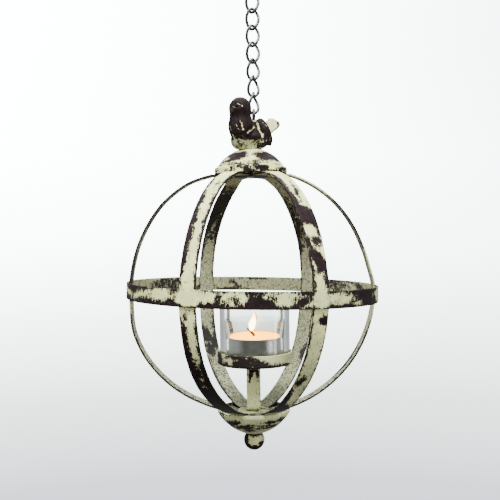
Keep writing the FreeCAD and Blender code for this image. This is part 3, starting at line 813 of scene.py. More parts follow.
RIB_INNER = {
    "rib_front_left": (0.5, [("off", 35, 0.3, 12, 0.8), ("off", -30, -0.3, 12, 0.9)]),
    "rib_front_right": (0.55, [("off", 44, 0.2, 12, 1.0), ("off", 20, 0.9, 14, 0.9),
                               ("off", -40, 0.4, 12, 0.8)]),
    "rib_left": (0.55, [("off", 42, 0.0, 12, 0.7), ("off", 8, 0.6, 10, 0.5)]),
    "rib_right": (0.6, [("off", 34, 0.3, 12, 0.7), ("off", -36, 0.5, 10, 0.6)]),
    "rib_back_right": (0.75, [
        ("off", 54, 1.1, 12, 0.36), ("worn", 36, 0.75, 20, 1.25), ("off", 40, 1.1, 9, 0.45),
        ("off", 30, 0.9, 4, 0.6, 20), ("off", 22, 1.1, 6, 0.75), ("off", 13, 1.2, 6, 0.5),
        ("off", 40, -1.1, 8, 0.4), ("off", 3, 1.2, 6, 0.36), ("off", -10, 1.25, 14, 0.34),
        ("off", -38, -1.0, 4, 0.45), ("off", -44, 1.2, 12, 0.36)]),
    "rib_back_left": (0.85, [
        ("off", 47, 0.0, 10, 3.0, 12), ("off", 40, 0.4, 8, 3.0, -10),
        ("worn", 58, 0.1, 7, 2.0, 15), ("off", 31, 1.0, 8, 0.8), ("off", 31, -1.1, 9, 0.8),
        ("worn", 31, 0.0, 6, 1.6), ("on", 33, 0.15, 6, 0.20, -14), ("off", 20, 1.2, 6, 0.40),
        ("off", 14, -1.2, 10, 0.36), ("off", -27, 0.6, 5, 0.65, 20),
        ("off", -31, -0.7, 6, 0.6, -25), ("off", -36, 0.3, 4.0, 0.6), ("off", -22, -1.1, 9, 0.5),
        ("off", -55, 1.2, 12, 0.36)]),
}
# Paint on the left and right narrow edges of each strip, as (latitude, paint) pairs.
RIB_EDGES = {
    "rib_front_left": (
        [(-80, 0.6), (-68, -0.6)],
        [(-78, 0.6), (-68, -1.4), (-60, -1.4), (-20, -0.6), (10, -0.5), (60, -0.7)]),
    "rib_front_right": (
        [(-78, 0.6), (-68, -0.6), (-60, -0.6), (0, 0.1), (25, -0.6), (60, -0.4)],
        [(0, -0.7)]),
    "rib_left": (
        [(0, 0.2)],
        [(-70, -1.3), (-24, -1.4), (-12, 0.1), (-6, 0.2), (3, -1.2), (60, -1.7), (75, -0.4)]),
    "rib_right": (
        [(-60, -1.0), (-25, -1.0), (-14, 0.5), (8, 0.9), (18, 0.3), (26, -1.3), (42, -1.3),
         (50, 0.2), (62, 0.9)],
        [(0, 0.1)]),
    "rib_back_right": ([(0, -0.1)], [(0, -0.6)]),
    "rib_back_left": ([(0, -0.6)], [(0, -0.8)]),
}
RIB_GRIME_SHADE_OUT, RIB_GRIME_SHADE_IN = 0.12, 0.85  # soiling on the outer faces; soiling and painted shade on the inner
# How far each hand bent strip strays from its circle: (latitude, mm sideways, mm outwards).
RIB_BOW = {
    "rib_front_left": [(-80, 0, 0), (-68, -0.5, 0), (-50, -1.3, 0), (-35, -1.6, 0.3),
                       (-20, -1.3, 0.3), (0, -0.8, 0), (20, -0.8, 0), (38, -0.9, 0.3),
                       (50, -1.4, 0.6), (62, -1.8, 0.8), (76, 0, 0)],
    "rib_front_right": [(-80, 0, 0), (-68, -1.5, 0), (-50, -2.6, 0), (-35, -2.0, 0),
                        (-20, -1.2, 0), (0, 0, 0), (20, 0.1, 0), (38, 1.0, 0.2), (50, 1.6, 0.4),
                        (62, 2.0, 0.5), (76, 0, 0)],
    "rib_left": [(-80, 0, 0), (-65, 0, 0.5), (-45, 0, 2.0), (-30, 0, 2.8), (-18, 0, 2.6),
                 (-5, 0, 0), (15, 0, 0), (32, 0, 1.0), (45, 0, 2.2), (60, 0, 2.2), (72, 0, 0)],
    "rib_right": [(-80, 0, 0), (-50, 0, -0.6), (-16, 0, -0.5), (-2, 0, 0), (3, 0, -0.3),
                  (10, 0, -2.0), (22, 0, -2.4), (32, 0, -1.6), (45, 0, -0.6), (60, 0, 0),
                  (76, 0, 0)],
    "rib_back_right": [(-70, 0, 0), (-50, -0.5, 0), (-35, -0.8, 0), (-20, 0, 0), (0, -0.8, 0),
                       (8, -1.0, 0), (20, -1.6, 0), (35, -1.7, 0), (48, -2.0, 0), (60, -2.4, 0),
                       (76, 0, 0)],
    "rib_back_left": [(-80, 0, 0), (-70, 0.6, 0), (-55, 1.8, 0), (-40, 2.0, 0), (-25, 1.2, 0),
                      (-12, 0, 0), (0, -0.7, 0), (22, -0.9, 0), (38, -1.8, 0), (50, -2.4, 0),
                      (62, -2.6, 0), (76, 0, 0)],
}


def rib_line():
    """A strip's middle line from its lower end to its upper tab, as (radius, height)."""
    mid = RIB_RADIUS - RIB_THICKNESS / 2
    tab = RIB_TAB_TOP - RIB_THICKNESS / 2
    low = -math.degrees(math.acos(RIB_END_RADIUS / mid))
    high = math.degrees(math.asin(tab / mid))
    bend = arc((0, 0), mid, low, high - 2.5, 150)
    corner = (math.sqrt(mid ** 2 - tab ** 2), tab, 6.0)
    path = rounded(bend + [corner, (RIB_END_RADIUS, tab, 0)], 1.0, closed=False)
    return resample(path, 1.0)


def rib_coat(name, seed, along, across, out):
    """The coat of a strip: along and across in mm, out from -1, inner, to 1, outer."""
    worn = 0.55 * np.clip((np.abs(across) / HALF - 0.82) / 0.18, 0, 1)
    outer, inner = (layout(along, across, base, in_mm(patches, LAT, HALF), 2.2) - worn
                    for base, patches in (RIB_OUTER[name], RIB_INNER[name]))
    inner = np.maximum(inner, -0.8)
    left, right = (np.interp(along / LAT, *zip(*pairs)) for pairs in RIB_EDGES[name])
    rim = np.where(across < 0, left, right) + ripple(along, seed + 3, 37, 0.4)
    field = np.where(out > 0.55, outer, np.where(out < -0.55, inner, rim))
    inside = np.clip(0.5 - out, 0, 1)
    low_down = np.clip((-8 - along / LAT) / 30, 0, 1)
    specks = (0.40 + 0.55 * inside + np.where((along < -6 * LAT) & (out > 0), 0.15, 0)
              + 0.25 * low_down)
    # Inner faces, and outer faces low down, are darkened: painted shade, with some soiling.
    tone = (RIB_GRIME_SHADE_OUT + (RIB_GRIME_SHADE_IN - RIB_GRIME_SHADE_OUT) * inside
            + 0.45 * low_down * (1 - inside))
    return coat_of(field, specks, tone)


def rib(name, angle, seed):
    """A hand bent strip; angle is its place round the cage in degrees from the front."""
    path = rib_line()
    tangent = tangents(path)
    distance = np.arange(len(path)) * 1.0
    lat = np.degrees(np.arctan2(path[:, 1], path[:, 0]))
    turn = math.radians(angle)
    radial = np.array([math.sin(turn), -math.cos(turn), 0.0])
    side = np.repeat(np.array([[math.cos(turn), math.sin(turn), 0.0]]), len(path), 0)
    points = path[:, :1] * radial + path[:, 1:] * UP
    normal = tangent[:, 1:] * radial - tangent[:, :1] * UP
    stations, aside, outward = np.array(RIB_BOW[name], float).T
    window = np.hanning(BOW_BLEND) / np.hanning(BOW_BLEND).sum()
    for shift, way in ((aside, side), (outward, normal)):
        bow = np.pad(np.interp(lat, stations, shift), BOW_BLEND // 2, mode="edge")
        points = points + way * np.convolve(bow, window, "valid")[:, None]
    free = np.sin(np.clip((path[:, 1] + 85) / 165, 0, 1) * math.pi)
    points = points + side * (ripple(distance, seed, 90, 0.16) * free)[:, None]
    section = bar_section(RIB_WIDTH, RIB_THICKNESS, 0.35, 15)
    verts, faces = loft(points, side, normal, section, closed=False)
    edge = np.where(np.abs(section[:, 0]) > HALF - 0.36, np.sign(section[:, 0]), 0)
    nick = ripple(distance, seed + 40, 14, 0.10)
    verts = verts + side[:, None, :] * (nick[:, None] * edge)[..., None]
    along, across, out = spread(lat * LAT, section, RIB_THICKNESS)
    run = np.broadcast_to(distance[:, None], across.shape)
    brush = np.stack([run + seed * 53, across + 0.15 * run, out * 2 + seed * 7], -1)
    coat = rib_coat(name, seed, along, across, out)
    iron_piece(name + "_strip", name, Form().add(verts, faces, brush, coat))


for number, (rib_name, rib_angle) in enumerate(RIB_ANGLES.items()):
    rib(rib_name, rib_angle, 11 + number)


# ---------------------------------------------------------------- equator ring

RING_DEGREE = RING_OUTER * math.pi / 180  # mm round the ring for one degree
# (degrees, mm above the middle) patches on the ring's two faces.
RING_OUTER_PATCHES = (-0.95, [
    ("on", -88, 0.6, 7, 5.6), ("off", -88, -3.8, 5, 2.2), ("on", -70, 0.6, 9, 1.7, -8),
    ("on", -57, 0.0, 7, 2.0, 12), ("on", -50, 2.0, 5, 1.8, 20), ("on", -41, 1.4, 8.0, 4.0),
    ("on", -26.5, 0.6, 6.5, 6.6), ("on", -18, 1.5, 5.5, 3.9), ("on", -9.5, 0.7, 5.0, 4.0),
    ("on", -5, 1.4, 3.2, 4.2), ("off", -13.2, -0.5, 0.9, 5.0), ("off", -6.4, -2.4, 0.7, 3.0),
    ("off", -9.6, -3.0, 0.6, 2.6), ("on", 12.0, 2.6, 8.3, 2.5), ("on", 12.5, -0.6, 4.0, 3.2),
    ("on", 22.0, -3.4, 2.4, 1.5, 30), ("on", 28.6, 0.2, 4.6, 6.4), ("on", 38, 0.7, 8.6, 4.1),
    ("off", 45, 4.5, 5, 1.6), ("on", 49, -2.6, 3.2, 1.7), ("on", 76, 0.4, 11, 5.2),
    ("off", 66, -2, 2.4, 3), ("on", 118, 0.5, 18, 4.6), ("off", 106, -2.5, 5, 2.4),
    ("on", 149, 0.2, 8, 5.8), ("on", 172, 1.2, 11, 3.6), ("on", -160, 0.6, 12, 4.6),
    ("on", -128, 1.0, 14, 4.2), ("off", -140, -2.8, 5, 2), ("on", -105, 0.4, 9, 5.0)])
RING_INNER_PATCHES = (0.75, [
    ("worn", -132, 0.2, 16, 5.4), ("off", -129, -3.2, 9, 1.2), ("off", -137, 2.6, 3.0, 1.6, -25),
    ("worn", -152, -2.6, 8, 2.6), ("worn", 133, 0.5, 14, 4.5), ("off", -171, -0.6, 3.4, 0.9, 40),
    ("off", -168, -5.0, 7, 1.3), ("off", 178, 4.9, 4, 0.9), ("off", 128, 4.9, 8, 0.9),
    ("off", 112, 1.5, 5, 2.4, 20), ("off", 101, -0.5, 3.5, 1.6), ("off", 60, 1, 5, 2.6),
    ("off", 20, -2, 7, 2.4), ("off", -35, 2, 8, 2.2), ("off", -75, -2, 6, 2.5)])


def ring():
    """The flat band round the strips, its outline swept round and tilted a little."""
    count = 420
    turns = np.linspace(0, 2 * math.pi, count, endpoint=False)
    radial = np.stack([np.sin(turns), -np.cos(turns), 0 * turns], -1)
    up = np.repeat(UP[None], count, 0)
    thickness = RING_OUTER - RING_INNER
    section = bar_section(RING_HEIGHT, thickness, 0.32, 17)
    degrees = (np.degrees(turns) + 180) % 360 - 180
    sway = 0.10 * np.sin(3 * turns + 0.6) + 0.05 * np.sin(7 * turns)
    middle = radial * (RING_OUTER + RING_INNER) / 2 + up * sway[:, None] * 0.6
    verts, faces = loft(middle, up, radial, section, closed=True)
    tilt = math.radians(RING_TILT)
    x, y, z = verts[..., 0], verts[..., 1], verts[..., 2]
    verts = np.stack([x * math.cos(tilt) + z * math.sin(tilt), y,
                      -x * math.sin(tilt) + z * math.cos(tilt)], -1)
    theta, height, out = spread(degrees * RING_DEGREE, section, thickness)
    outer, inner = (laid_round(theta, height, table, RING_DEGREE, 2.4)
                    for table in (RING_OUTER_PATCHES, RING_INNER_PATCHES))
    outer = outer - 0.7 * np.clip((-height - 4.4) / 0.9, 0, 1)
    rim = np.where(height < 0, -1.0, -0.25)
    field = np.where(out > 0.5, outer, np.where(out < -0.5, inner, rim))
    inside = np.clip(0.5 - out, 0, 1)
    front = (np.abs(degrees) < 100)[:, None]
    specks = 0.35 + 0.6 * inside + np.where((theta > 24 * RING_DEGREE) & front, 0.35, 0)
    # The outer face right of the front is a little darker; the inner face is darkened more, as
    # painted shade with soiling.
    right_of_front = (theta > 10 * RING_DEGREE) & front & (out > 0)
    tone = 0.14 + 0.62 * inside + np.where(right_of_front, 0.14, 0)
    around = turns[:, None] + 0 * height
    brush = np.stack([height + 300 * (out < 0), RING_OUTER * np.sin(around),
                      RING_OUTER * np.cos(around)], -1)
    form = Form().add(verts, faces, brush, coat_of(field, specks, tone))
    iron_piece("ring_band", "equator_ring", form)


ring()


# ---------------------------------------------------------------- cap, bowl, ball, hubs

CAP_DEGREE = 22.0 * math.pi / 180  # mm round the cap for one degree
# (degrees, mm up from the rim) patches on the cap.
CAP_PATCHES = (0.9, [
    ("off", -44, 14.6, 36, 5.4, 6), ("off", -80, 13.0, 18, 4.6, 12),
    ("off", -22, 16.4, 14, 4.0, 8), ("off", 42, 15.0, 34, 5.0, -6), ("off", 80, 14, 18, 4.2, -12),
    ("on", -56, 12.4, 9, 1.1, 6), ("off", -30, 6.9, 24, 0.9), ("off", -64, 7.4, 9, 0.8, 6),
    ("off", -17, 5.2, 8, 2.0, -30), ("off", -6, 2.6, 8, 2.4, -25), ("off", 11, 4.4, 9, 2.8, -35),
    ("off", 21, 2.2, 9, 2.8, -20), ("off", 0, 1.4, 6, 1.2), ("on", 3, 3.6, 4.2, 1.2),
    ("off", -31, 3.0, 2.6, 0.8, 60), ("off", -38, 1.0, 5, 0.5), ("off", -74, 2.2, 8, 1.4, 10),
    ("off", 62, 2.4, 10, 1.0), ("off", 80, 4.6, 8, 1.8), ("off", 46, 6.4, 8, 0.7),
    ("off", 40, 1.0, 8, 0.7), ("off", 5, 8.8, 12, 0.7, 4), ("off", 30, 10.4, 9, 0.6, 5),
    ("off", 130, 13, 24, 4.4, 8), ("off", -150, 15, 26, 3.6, -8), ("off", 170, 4, 9, 2.4),
    ("off", -118, 4, 10, 2.0), ("off", 108, 3, 8, 2.6), ("off", 175, 20, 14, 2.4)])
BOWL_DEGREE = 20.0 * math.pi / 180
# (degrees, mm down from the rim) patches on the bowl.
BOWL_PATCHES = (0.85, [
    ("off", -76, 5.5, 16, 2.2, -25), ("off", -48, 8.6, 22, 2.4, -20),
    ("off", -20, 11.5, 20, 2.6, -16), ("off", -62, 12, 18, 3.0), ("off", -12, 15.8, 13, 2.0),
    ("off", 30, 6.6, 12, 1.3, 6), ("off", 47, 6.0, 8, 1.5, -10), ("off", 60, 7.0, 7, 1.2, -20),
    ("worn", 22, 12, 24, 3.6), ("off", 36, 12.0, 16, 1.7, -14), ("off", 70, 12, 14, 1.9, -10),
    ("off", -58, 1.2, 7, 0.7), ("on", -30, 14.6, 9, 1.0, -10), ("off", 150, 8, 26, 3.6, 10),
    ("off", -130, 6, 24, 2.6, -10), ("off", -165, 14, 20, 3.2), ("off", 110, 13, 20, 3.0)])
# (degrees, mm in the cage frame) patches inside the bowl.
BOWL_LINING_PATCHES = (0.45, [
    ("off", 180, -86.4, 50, 0.7), ("off", 150, -88.6, 26, 0.8, 3),
    ("off", -150, -88.8, 28, 0.9, -3), ("off", 170, -91, 60, 1.0), ("off", 20, -92, 40, 2.5)])
BALL_DEGREE = BALL_RADIUS * math.pi / 180
# (degrees, mm above the middle) patches on the ball.
BALL_PATCHES = (-0.8, [
    ("on", 4, 1.6, 52, 4.6), ("off", -52, 1.5, 14, 4.5), ("off", 48, -2.2, 22, 2.2, -20),
    ("on", 62, 1.6, 12, 2.0), ("on", 150, 1.0, 46, 4.0), ("off", 130, -1, 14, 2.4),
    ("off", 8, 4.7, 50, 0.9)])


def cap():
    """The pressed dome with its straight band, as a sheet of even thickness."""
    inner = CAP_DOME - SHEET
    seat_in = CAP_DOME_Z + math.sqrt(inner ** 2 - CAP_SEAT ** 2)
    dome_top = math.degrees(math.acos(CAP_SEAT / CAP_DOME))
    shoulder = math.degrees(math.acos(CAP_SHOULDER / CAP_DOME))
    in_top = math.degrees(math.atan2(seat_in - CAP_DOME_Z, CAP_SEAT))
    in_shoulder = math.degrees(math.acos((CAP_SHOULDER - SHEET) / inner))
    corners = [(CAP_RIM, RIB_TAB_TOP, 0.42), (CAP_RIM, CAP_BAND_TOP, 1.1),
               *arc((0, CAP_DOME_Z), CAP_DOME, shoulder, dome_top, 34),
               (CAP_BORE, BIRD_SEAT_Z, 0), (CAP_BORE, seat_in, 0),
               *arc((0, CAP_DOME_Z), inner, in_top, in_shoulder, 24),
               (CAP_RIM - SHEET, CAP_BAND_TOP - SHEET / 2, 0.6),
               (CAP_RIM - SHEET, RIB_TAB_TOP, 0.42)]
    turned = Turned(rounded(corners, 0.9), 200, wobble=0.0016, seed=5)
    height = np.where(turned.r > CAP_SEAT, turned.m, 26.0)
    outside = (turned.z - CAP_DOME_Z) ** 2 + turned.r ** 2 > (CAP_DOME - 0.5) ** 2
    outside |= (turned.r > CAP_RIM - 0.6) & (turned.z < CAP_BAND_TOP + 1)
    field = laid_round(turned.degrees * CAP_DEGREE, height, CAP_PATCHES, CAP_DEGREE, 2.2)
    field = np.where(outside, field, -1.3)
    field = np.where(turned.z < RIB_TAB_TOP + 0.35, -1.5, field)
    # Outside, greyer towards the top of the dome; inside, speckled and darkened as painted shade
    # with soiling.
    specks = np.where(outside, 0.35, 0.9)
    tone = np.where(outside, 0.10 + 0.22 * np.clip((height - 14) / 8, 0, 1), 0.8)
    coat = coat_of(field, specks, tone)
    iron_piece("cap_shell", "top_cap", turned.form(turned.strokes(0.55, 0.9), coat))


def bowl():
    """The dished bowl, open at the top."""
    outer = arc_through((BOWL_RIM, BOWL_BAND), BOWL_MIDDLE, (BOWL_SEAT, BOWL_BOTTOM), 40)
    slant = SHEET / math.sqrt(2)
    floor = BOWL_BOTTOM + SHEET
    inner = arc_through((BOWL_SEAT - SHEET / 2, floor),
                        (BOWL_MIDDLE[0] - slant, BOWL_MIDDLE[1] + slant),
                        (BOWL_RIM - SHEET, BOWL_BAND + SHEET / 4), 32)
    corners = [(BOWL_RIM - SHEET, BOWL_TOP, 0.45), (BOWL_RIM, BOWL_TOP, 0.45), *outer,
               (BOWL_BORE, BOWL_BOTTOM, 0), (BOWL_BORE, floor, 0), *inner]
    turned = Turned(rounded(corners, 0.9), 200, wobble=0.0016, seed=9)
    depth = turned.m - SHEET
    outside = (turned.m > SHEET) & (turned.m < 34)
    around = turned.degrees * BOWL_DEGREE
    field = laid_round(around, depth, BOWL_PATCHES, BOWL_DEGREE, 2.2)
    lining = laid_round(around, turned.z, BOWL_LINING_PATCHES, BOWL_DEGREE, 1.0)
    field = np.where(outside, field, np.where(turned.z > BOWL_TOP - 0.3, 0.9, lining))
    # Darker towards the bottom and inside the bowl: painted shade, with soiling.
    specks = np.where(outside, 0.6, 0.9)
    tone = np.where(outside, 0.45 + 0.35 * np.clip(depth / 18, 0, 1), 0.85)
    coat = coat_of(field, specks, tone)
    iron_piece("bowl_shell", "bottom_bowl", turned.form(turned.strokes(0.5, 0.9), coat))


def ball():
    """The ball under the bowl, painted on its upper half."""
    top = math.degrees(math.asin((BOWL_BOTTOM - BALL_Z) / BALL_RADIUS))
    profile = [(0.0, BALL_Z - BALL_RADIUS)]
    profile += [(r, z) for r, z, _ in arc((0, BALL_Z), BALL_RADIUS, -88, top, 44)]
    profile += [(2.2, BOWL_BOTTOM), (0.0, BOWL_BOTTOM)]
    turned = Turned(profile, 96, wobble=0.004, closed=False, seed=3)
    rise = turned.z - BALL_Z
    field = laid_round(turned.degrees * BALL_DEGREE, rise, BALL_PATCHES, BALL_DEGREE, 1.2)
    field = field - 0.9 * np.clip(-rise / BALL_RADIUS - 0.62, 0, 1)
    brush = turned.verts() * np.array([1, 1, 0.8])
    iron_piece("ball_knob", "ball_finial", turned.form(brush, coat_of(field, 0.5, 0.3)))


def hub(name, top, bore, seed, cover):
    """A disc under the cap or over the bowl; cover is how much paint is on it."""
    corners = [(bore, top - HUB_THICKNESS, 0), (HUB_RADIUS, top - HUB_THICKNESS, 0.5),
               (HUB_RADIUS, top, 0.5), (bore, top, 0)]
    turned = Turned(rounded(corners, 0.8), 120, wobble=0.003, seed=seed)
    field = ripple(turned.x + 2 * turned.y, seed, 23, 0.7) + cover
    iron_piece(name + "_disc", name, turned.form(turned.verts(), coat_of(field, 0.7, 0.6)))


cap()
bowl()
ball()
hub("upper_hub", RIB_TAB_TOP, 2.5, 21, -1.3)
hub("lower_hub", LOWER_HUB_TOP, 2.05, 22, 0.6)


# ---------------------------------------------------------------- stem, dish, fasteners

# (height, mm across) patches on the stem, in mm.
STEM_PATCHES = [
    ("off", -56.0, -1.6, 4.2, 1.5, 6), ("off", -57.5, 2.6, 4.4, 0.9, -4),
    ("off", -55.0, 0.8, 2.6, 2.4), ("off", -60.5, -2.8, 3.4, 0.7), ("off", -53.2, 0, 1.8, 6)]


def stem():
    """A flat bar bent into a foot at each end, with its holes hidden by nut and rivet."""
    low = LOWER_HUB_TOP + STEM_THICKNESS / 2
    high = DISH_BOTTOM - STEM_THICKNESS / 2
    front = STEM_FRONT + STEM_THICKNESS / 2
    path = rounded([(STEM_BACK, low, 0), (front, low, 1.9), (front, high, 1.9),
                    (STEM_BACK, high, 0)], 0.8, closed=False)
    path = resample(path, 0.8)
    tangent = tangents(path)
    zero = 0 * path[:, 0]
    points = np.stack([zero, path[:, 0], path[:, 1]], -1)
    normal = np.stack([zero, -tangent[:, 1], tangent[:, 0]], -1)
    side = np.repeat(np.array([[1.0, 0.0, 0.0]]), len(points), 0)
    section = bar_section(STEM_WIDTH, STEM_THICKNESS, 0.4, 14)
    verts, faces = loft(points, side, normal, section, closed=False)
    z, across, out = spread(path[:, 1], section, STEM_THICKNESS)
    field = layout(z, across, 0.95, STEM_PATCHES, 1.0)
    field = field - 0.25 * (np.abs(across) > STEM_WIDTH / 2 - 0.5)
    # Darkened, most towards the top under the dish: painted shadow, with soiling.
    tone = 0.30 + 0.35 * np.clip((z + 66) / 14, 0, 1)
    along = np.broadcast_to((np.arange(len(path)) * 0.8)[:, None], z.shape)
    brush = np.stack([along, across, out + 80], -1)
    form = Form().add(verts, faces, brush, coat_of(field, 0.62, tone))
    iron_piece("stem_bar", "holder_stem", form)


DISH_X = float(in_cage("candle_dish")[0])
DISH_DEGREE = DISH_RADIUS * math.pi / 180
# (degrees, height above the dish's underside) patches on the dish wall.
DISH_PATCHES = (0.9, [
    ("off", -78, 4.5, 22, 7.0), ("on", -50, 5.4, 12, 2.6, -14), ("off", -20, 3.0, 19, 4.6, 10),
    ("off", -28, 8.0, 18, 1.8), ("off", 6, 2.2, 18, 3.2, -8), ("off", -4, 6.6, 10, 2.4, -25),
    ("on", 10, 7.4, 11, 1.4), ("off", 30, 1.0, 12, 1.8), ("off", 52, 0.8, 10, 1.3),
    ("worn", 4, 5, 9, 3.5), ("off", -58, 1.2, 18, 2.0), ("off", 120, 3, 16, 3.4, 12),
    ("off", 170, 6, 14, 2.6), ("off", -135, 3, 20, 3.2, -10)])


def dish():
    """The shallow round dish that the glass stands in."""
    top, floor = DISH_BOTTOM + DISH_HEIGHT, DISH_BOTTOM + SHEET
    corners = [(1.5, DISH_BOTTOM, 0), (DISH_RADIUS, DISH_BOTTOM, DISH_CORNER),
               (DISH_RADIUS, top, 0.45), (DISH_RADIUS - SHEET, top, 0.45),
               (DISH_RADIUS - SHEET, floor, 0.6), (1.5, floor, 0)]
    turned = Turned(rounded(corners, 0.8), 220, centre=(DISH_X, 0.0), wobble=0.0014, seed=13)
    height = turned.z - DISH_BOTTOM
    wall = turned.r > DISH_RADIUS - 0.7
    field = laid_round(turned.degrees * DISH_DEGREE, height, DISH_PATCHES, DISH_DEGREE, 2.0)
    under = 0.35 + ripple(turned.x + 0.6 * turned.y, 31, 26, 0.8)
    field = np.where(wall, field, np.where(height < 0.5, under, 0.5))
    # The wall's cream is darkened; the underside's more, as painted shade under the dish.
    coat = coat_of(field, np.where(wall, 0.55, 0.75), np.where(wall, 0.62, 0.8))
    iron_piece("dish_shell", "candle_dish", turned.form(turned.strokes(0.6, 0.9), coat))


def stud():
    """A rod with a helical thread; its ends are chamfered."""
    low, high = span_in_cage("bottom_stud")
    bottom, top, around = low[2], high[2], 48
    turns = np.linspace(0, 2 * math.pi, around, endpoint=False)
    rows = int((top - bottom) / 0.1) + 1
    z, t = np.meshgrid(np.linspace(bottom, top, rows), turns, indexing="ij")
    wave = np.abs(((z / THREAD_PITCH - t / (2 * math.pi)) % 1.0) - 0.5) * 2
    r = STUD_RADIUS - THREAD_DEPTH * wave ** 1.3
    r = np.minimum(r, STUD_RADIUS - 0.5 + np.minimum(top - z, z - bottom))
    verts = np.stack([r * np.sin(t), -r * np.cos(t), z], -1)
    form = Form().add(verts, skin(rows, around, False))
    make_piece("stud_thread", form, ZINC, "lantern", "zinc_steel", "bottom_stud")


def nut():
    """A hexagon nut; its corners are cut to a cone at both ends."""
    low, high = span_in_cage("stem_nut")
    bottom, top = low[2], high[2]
    turns = np.linspace(0, 2 * math.pi, 144, endpoint=False)
    hexagon = NUT_APOTHEM / np.cos((turns + math.pi / 6) % (math.pi / 3) - math.pi / 6)
    rings = [(bottom + share * (top - bottom), np.minimum(hexagon, cone))
             for share, cone in NUT_CONE]
    rings += [(z, r + 0 * turns) for z, r in ((top, NUT_BORE + 0.52), (top - 0.4, NUT_BORE),
                                              (bottom, NUT_BORE))]
    verts = [np.stack([r * np.cos(turns), r * np.sin(turns), z + 0 * turns], -1)
             for z, r in rings]
    form = Form().add(verts, grid(len(rings), len(turns), True))
    make_piece("nut_hexagon", form, ZINC, "lantern", "zinc_steel", "stem_nut", smooth_angle=28)


def rivet():
    """A rivet with a low round head at each end."""
    low, high = span_in_cage("dish_rivet")
    under, over = low[2] + RIVET_DOME, high[2] - RIVET_DOME
    profile = [(0.0, low[2])]
    profile += [(RIVET_HEAD * math.sin(a), under - RIVET_DOME * math.cos(a))
                for a in np.radians(np.linspace(8, 90, 9))]
    profile += [(RIVET_SHANK, under), (RIVET_SHANK, over)]
    profile += [(RIVET_HEAD * math.cos(a), over + RIVET_DOME * math.sin(a))
                for a in np.radians(np.linspace(0, 82, 9))]
    profile += [(0.0, high[2])]
    turned = Turned(profile, 48, centre=(DISH_X, 0.0), closed=False)
    make_piece("rivet_heads", turned.form(), ZINC, "lantern", "zinc_steel", "dish_rivet",
               smooth_angle=50)


stem()
dish()
stud()
nut()
rivet()


# ---------------------------------------------------------------- glass and tealight

def glass():
    """A thick cup; its inside narrows from the mouth to just clear of the tealight."""
    inner = GLASS_RADIUS - GLASS_WALL
    lip, punt = GLASS_WALL / 2, GLASS_BOTTOM + GLASS_PUNT
    half = [(0.0, punt, 0), (6.0, punt, 0), (GLASS_FOOT, punt, 1.0),
            (GLASS_FOOT + 1, GLASS_BOTTOM, 0.5), (GLASS_RADIUS, GLASS_BOTTOM, 2.0),
            (GLASS_RADIUS, GLASS_TOP, lip), (inner, GLASS_TOP, lip),
            (inner, WAX_TOP + 14, 9.0), (GLASS_POCKET, WAX_TOP + 1, 8.0),
            (GLASS_POCKET, GLASS_FLOOR, 1.4), (6.0, GLASS_FLOOR, 0), (0.0, GLASS_FLOOR, 0)]
    turned = Turned(rounded(half, 1.2, closed=False), 180, centre=(DISH_X, 0.0),
                    wobble=0.0008, closed=False, seed=17)
    cup = make_piece("glass_body", turned.form(turned.verts()), GLASS, "glass", "cup_glass",
                     "glass_cup")
    cup.visible_shadow = cup.visible_diffuse = cup.visible_glossy = False


def tin():
    """A pressed aluminium cup with a rolled rim, faint flutes and dents."""
    top = TIN_BOTTOM + TIN_HEIGHT
    rolled = TIN_INNER - 0.15
    half = [(0.0, TIN_BOTTOM + 0.5, 0), (13.5, TIN_BOTTOM + 0.5, 1.0), (14.6, TIN_BOTTOM, 0.6),
            (TIN_RADIUS, TIN_BOTTOM, 1.3), (TIN_RADIUS - 0.1, top - 1.0, 0.4),
            (TIN_RADIUS, top - 0.5, 0.4), (TIN_RADIUS, top, 0.3), (rolled, top, 0.3),
            (rolled, top - 0.9, 0.3), (TIN_INNER, top - 1.6, 0.5),
            (TIN_INNER, TIN_FLOOR + 0.5, 0.9), (0.0, TIN_FLOOR + 0.5, 0)]
    turned = Turned(rounded(half, 0.7, closed=False), 240, centre=(DISH_X, 0.0),
                    closed=False, seed=4)
    wall = ((turned.r > TIN_INNER - 0.4) & (turned.z < top - 1.6)
            & (turned.z > TIN_BOTTOM + 1.4))
    flutes = 0.004 * np.cos(48 * turned.theta) * wall
    up_share = (turned.z - TIN_BOTTOM) / TIN_HEIGHT
    dents = 0.05 * np.sin(3 * turned.theta + 1.3) * np.sin(up_share * math.pi)
    r = turned.r + np.where(turned.r > 16, flutes + dents - 0.08, 0)
    turned.x, turned.y = DISH_X + r * np.sin(turned.theta), -r * np.cos(turned.theta)
    make_piece("tin_cup", turned.form(turned.strokes(0.3, 1.0)), TIN, "tealight",
               "tin_aluminium", "tealight_tin")


def wax():
    """Wax that climbs a little at the tin's wall and at the wick."""
    edge = TIN_INNER - 0.12
    profile = [(0.0, TIN_FLOOR + 0.6), (edge - 1.0, TIN_FLOOR + 0.6), (edge, TIN_FLOOR + 1.4),
               (edge, WAX_TOP + 0.1), (edge - 0.15, WAX_TOP + 0.28),
               (edge - 0.7, WAX_TOP + 0.10), (edge - 1.8, WAX_TOP - 0.08)]
    profile += [(r, WAX_TOP - 0.18 + 0.0009 * (r - 8) ** 2)
                for r in np.linspace(edge - 3, 2.0, 16)]
    profile += [(1.2, WAX_TOP + 0.05), (0.8, WAX_TOP + 0.35), (0.0, WAX_TOP + 0.4)]
    turned = Turned(profile, 128, centre=(DISH_X, 0.0), closed=False, seed=6)
    near_flame = np.clip(1.15 - turned.r / 17, 0, 1)
    melted = np.clip((14 - turned.r) / 3, 0, 1)
    fill = make_piece("wax_fill", turned.form(turned.verts(), coat_of(near_flame, melted)), WAX,
                      "tealight", "candle_wax", "tealight_wax")
    fill.visible_diffuse = False


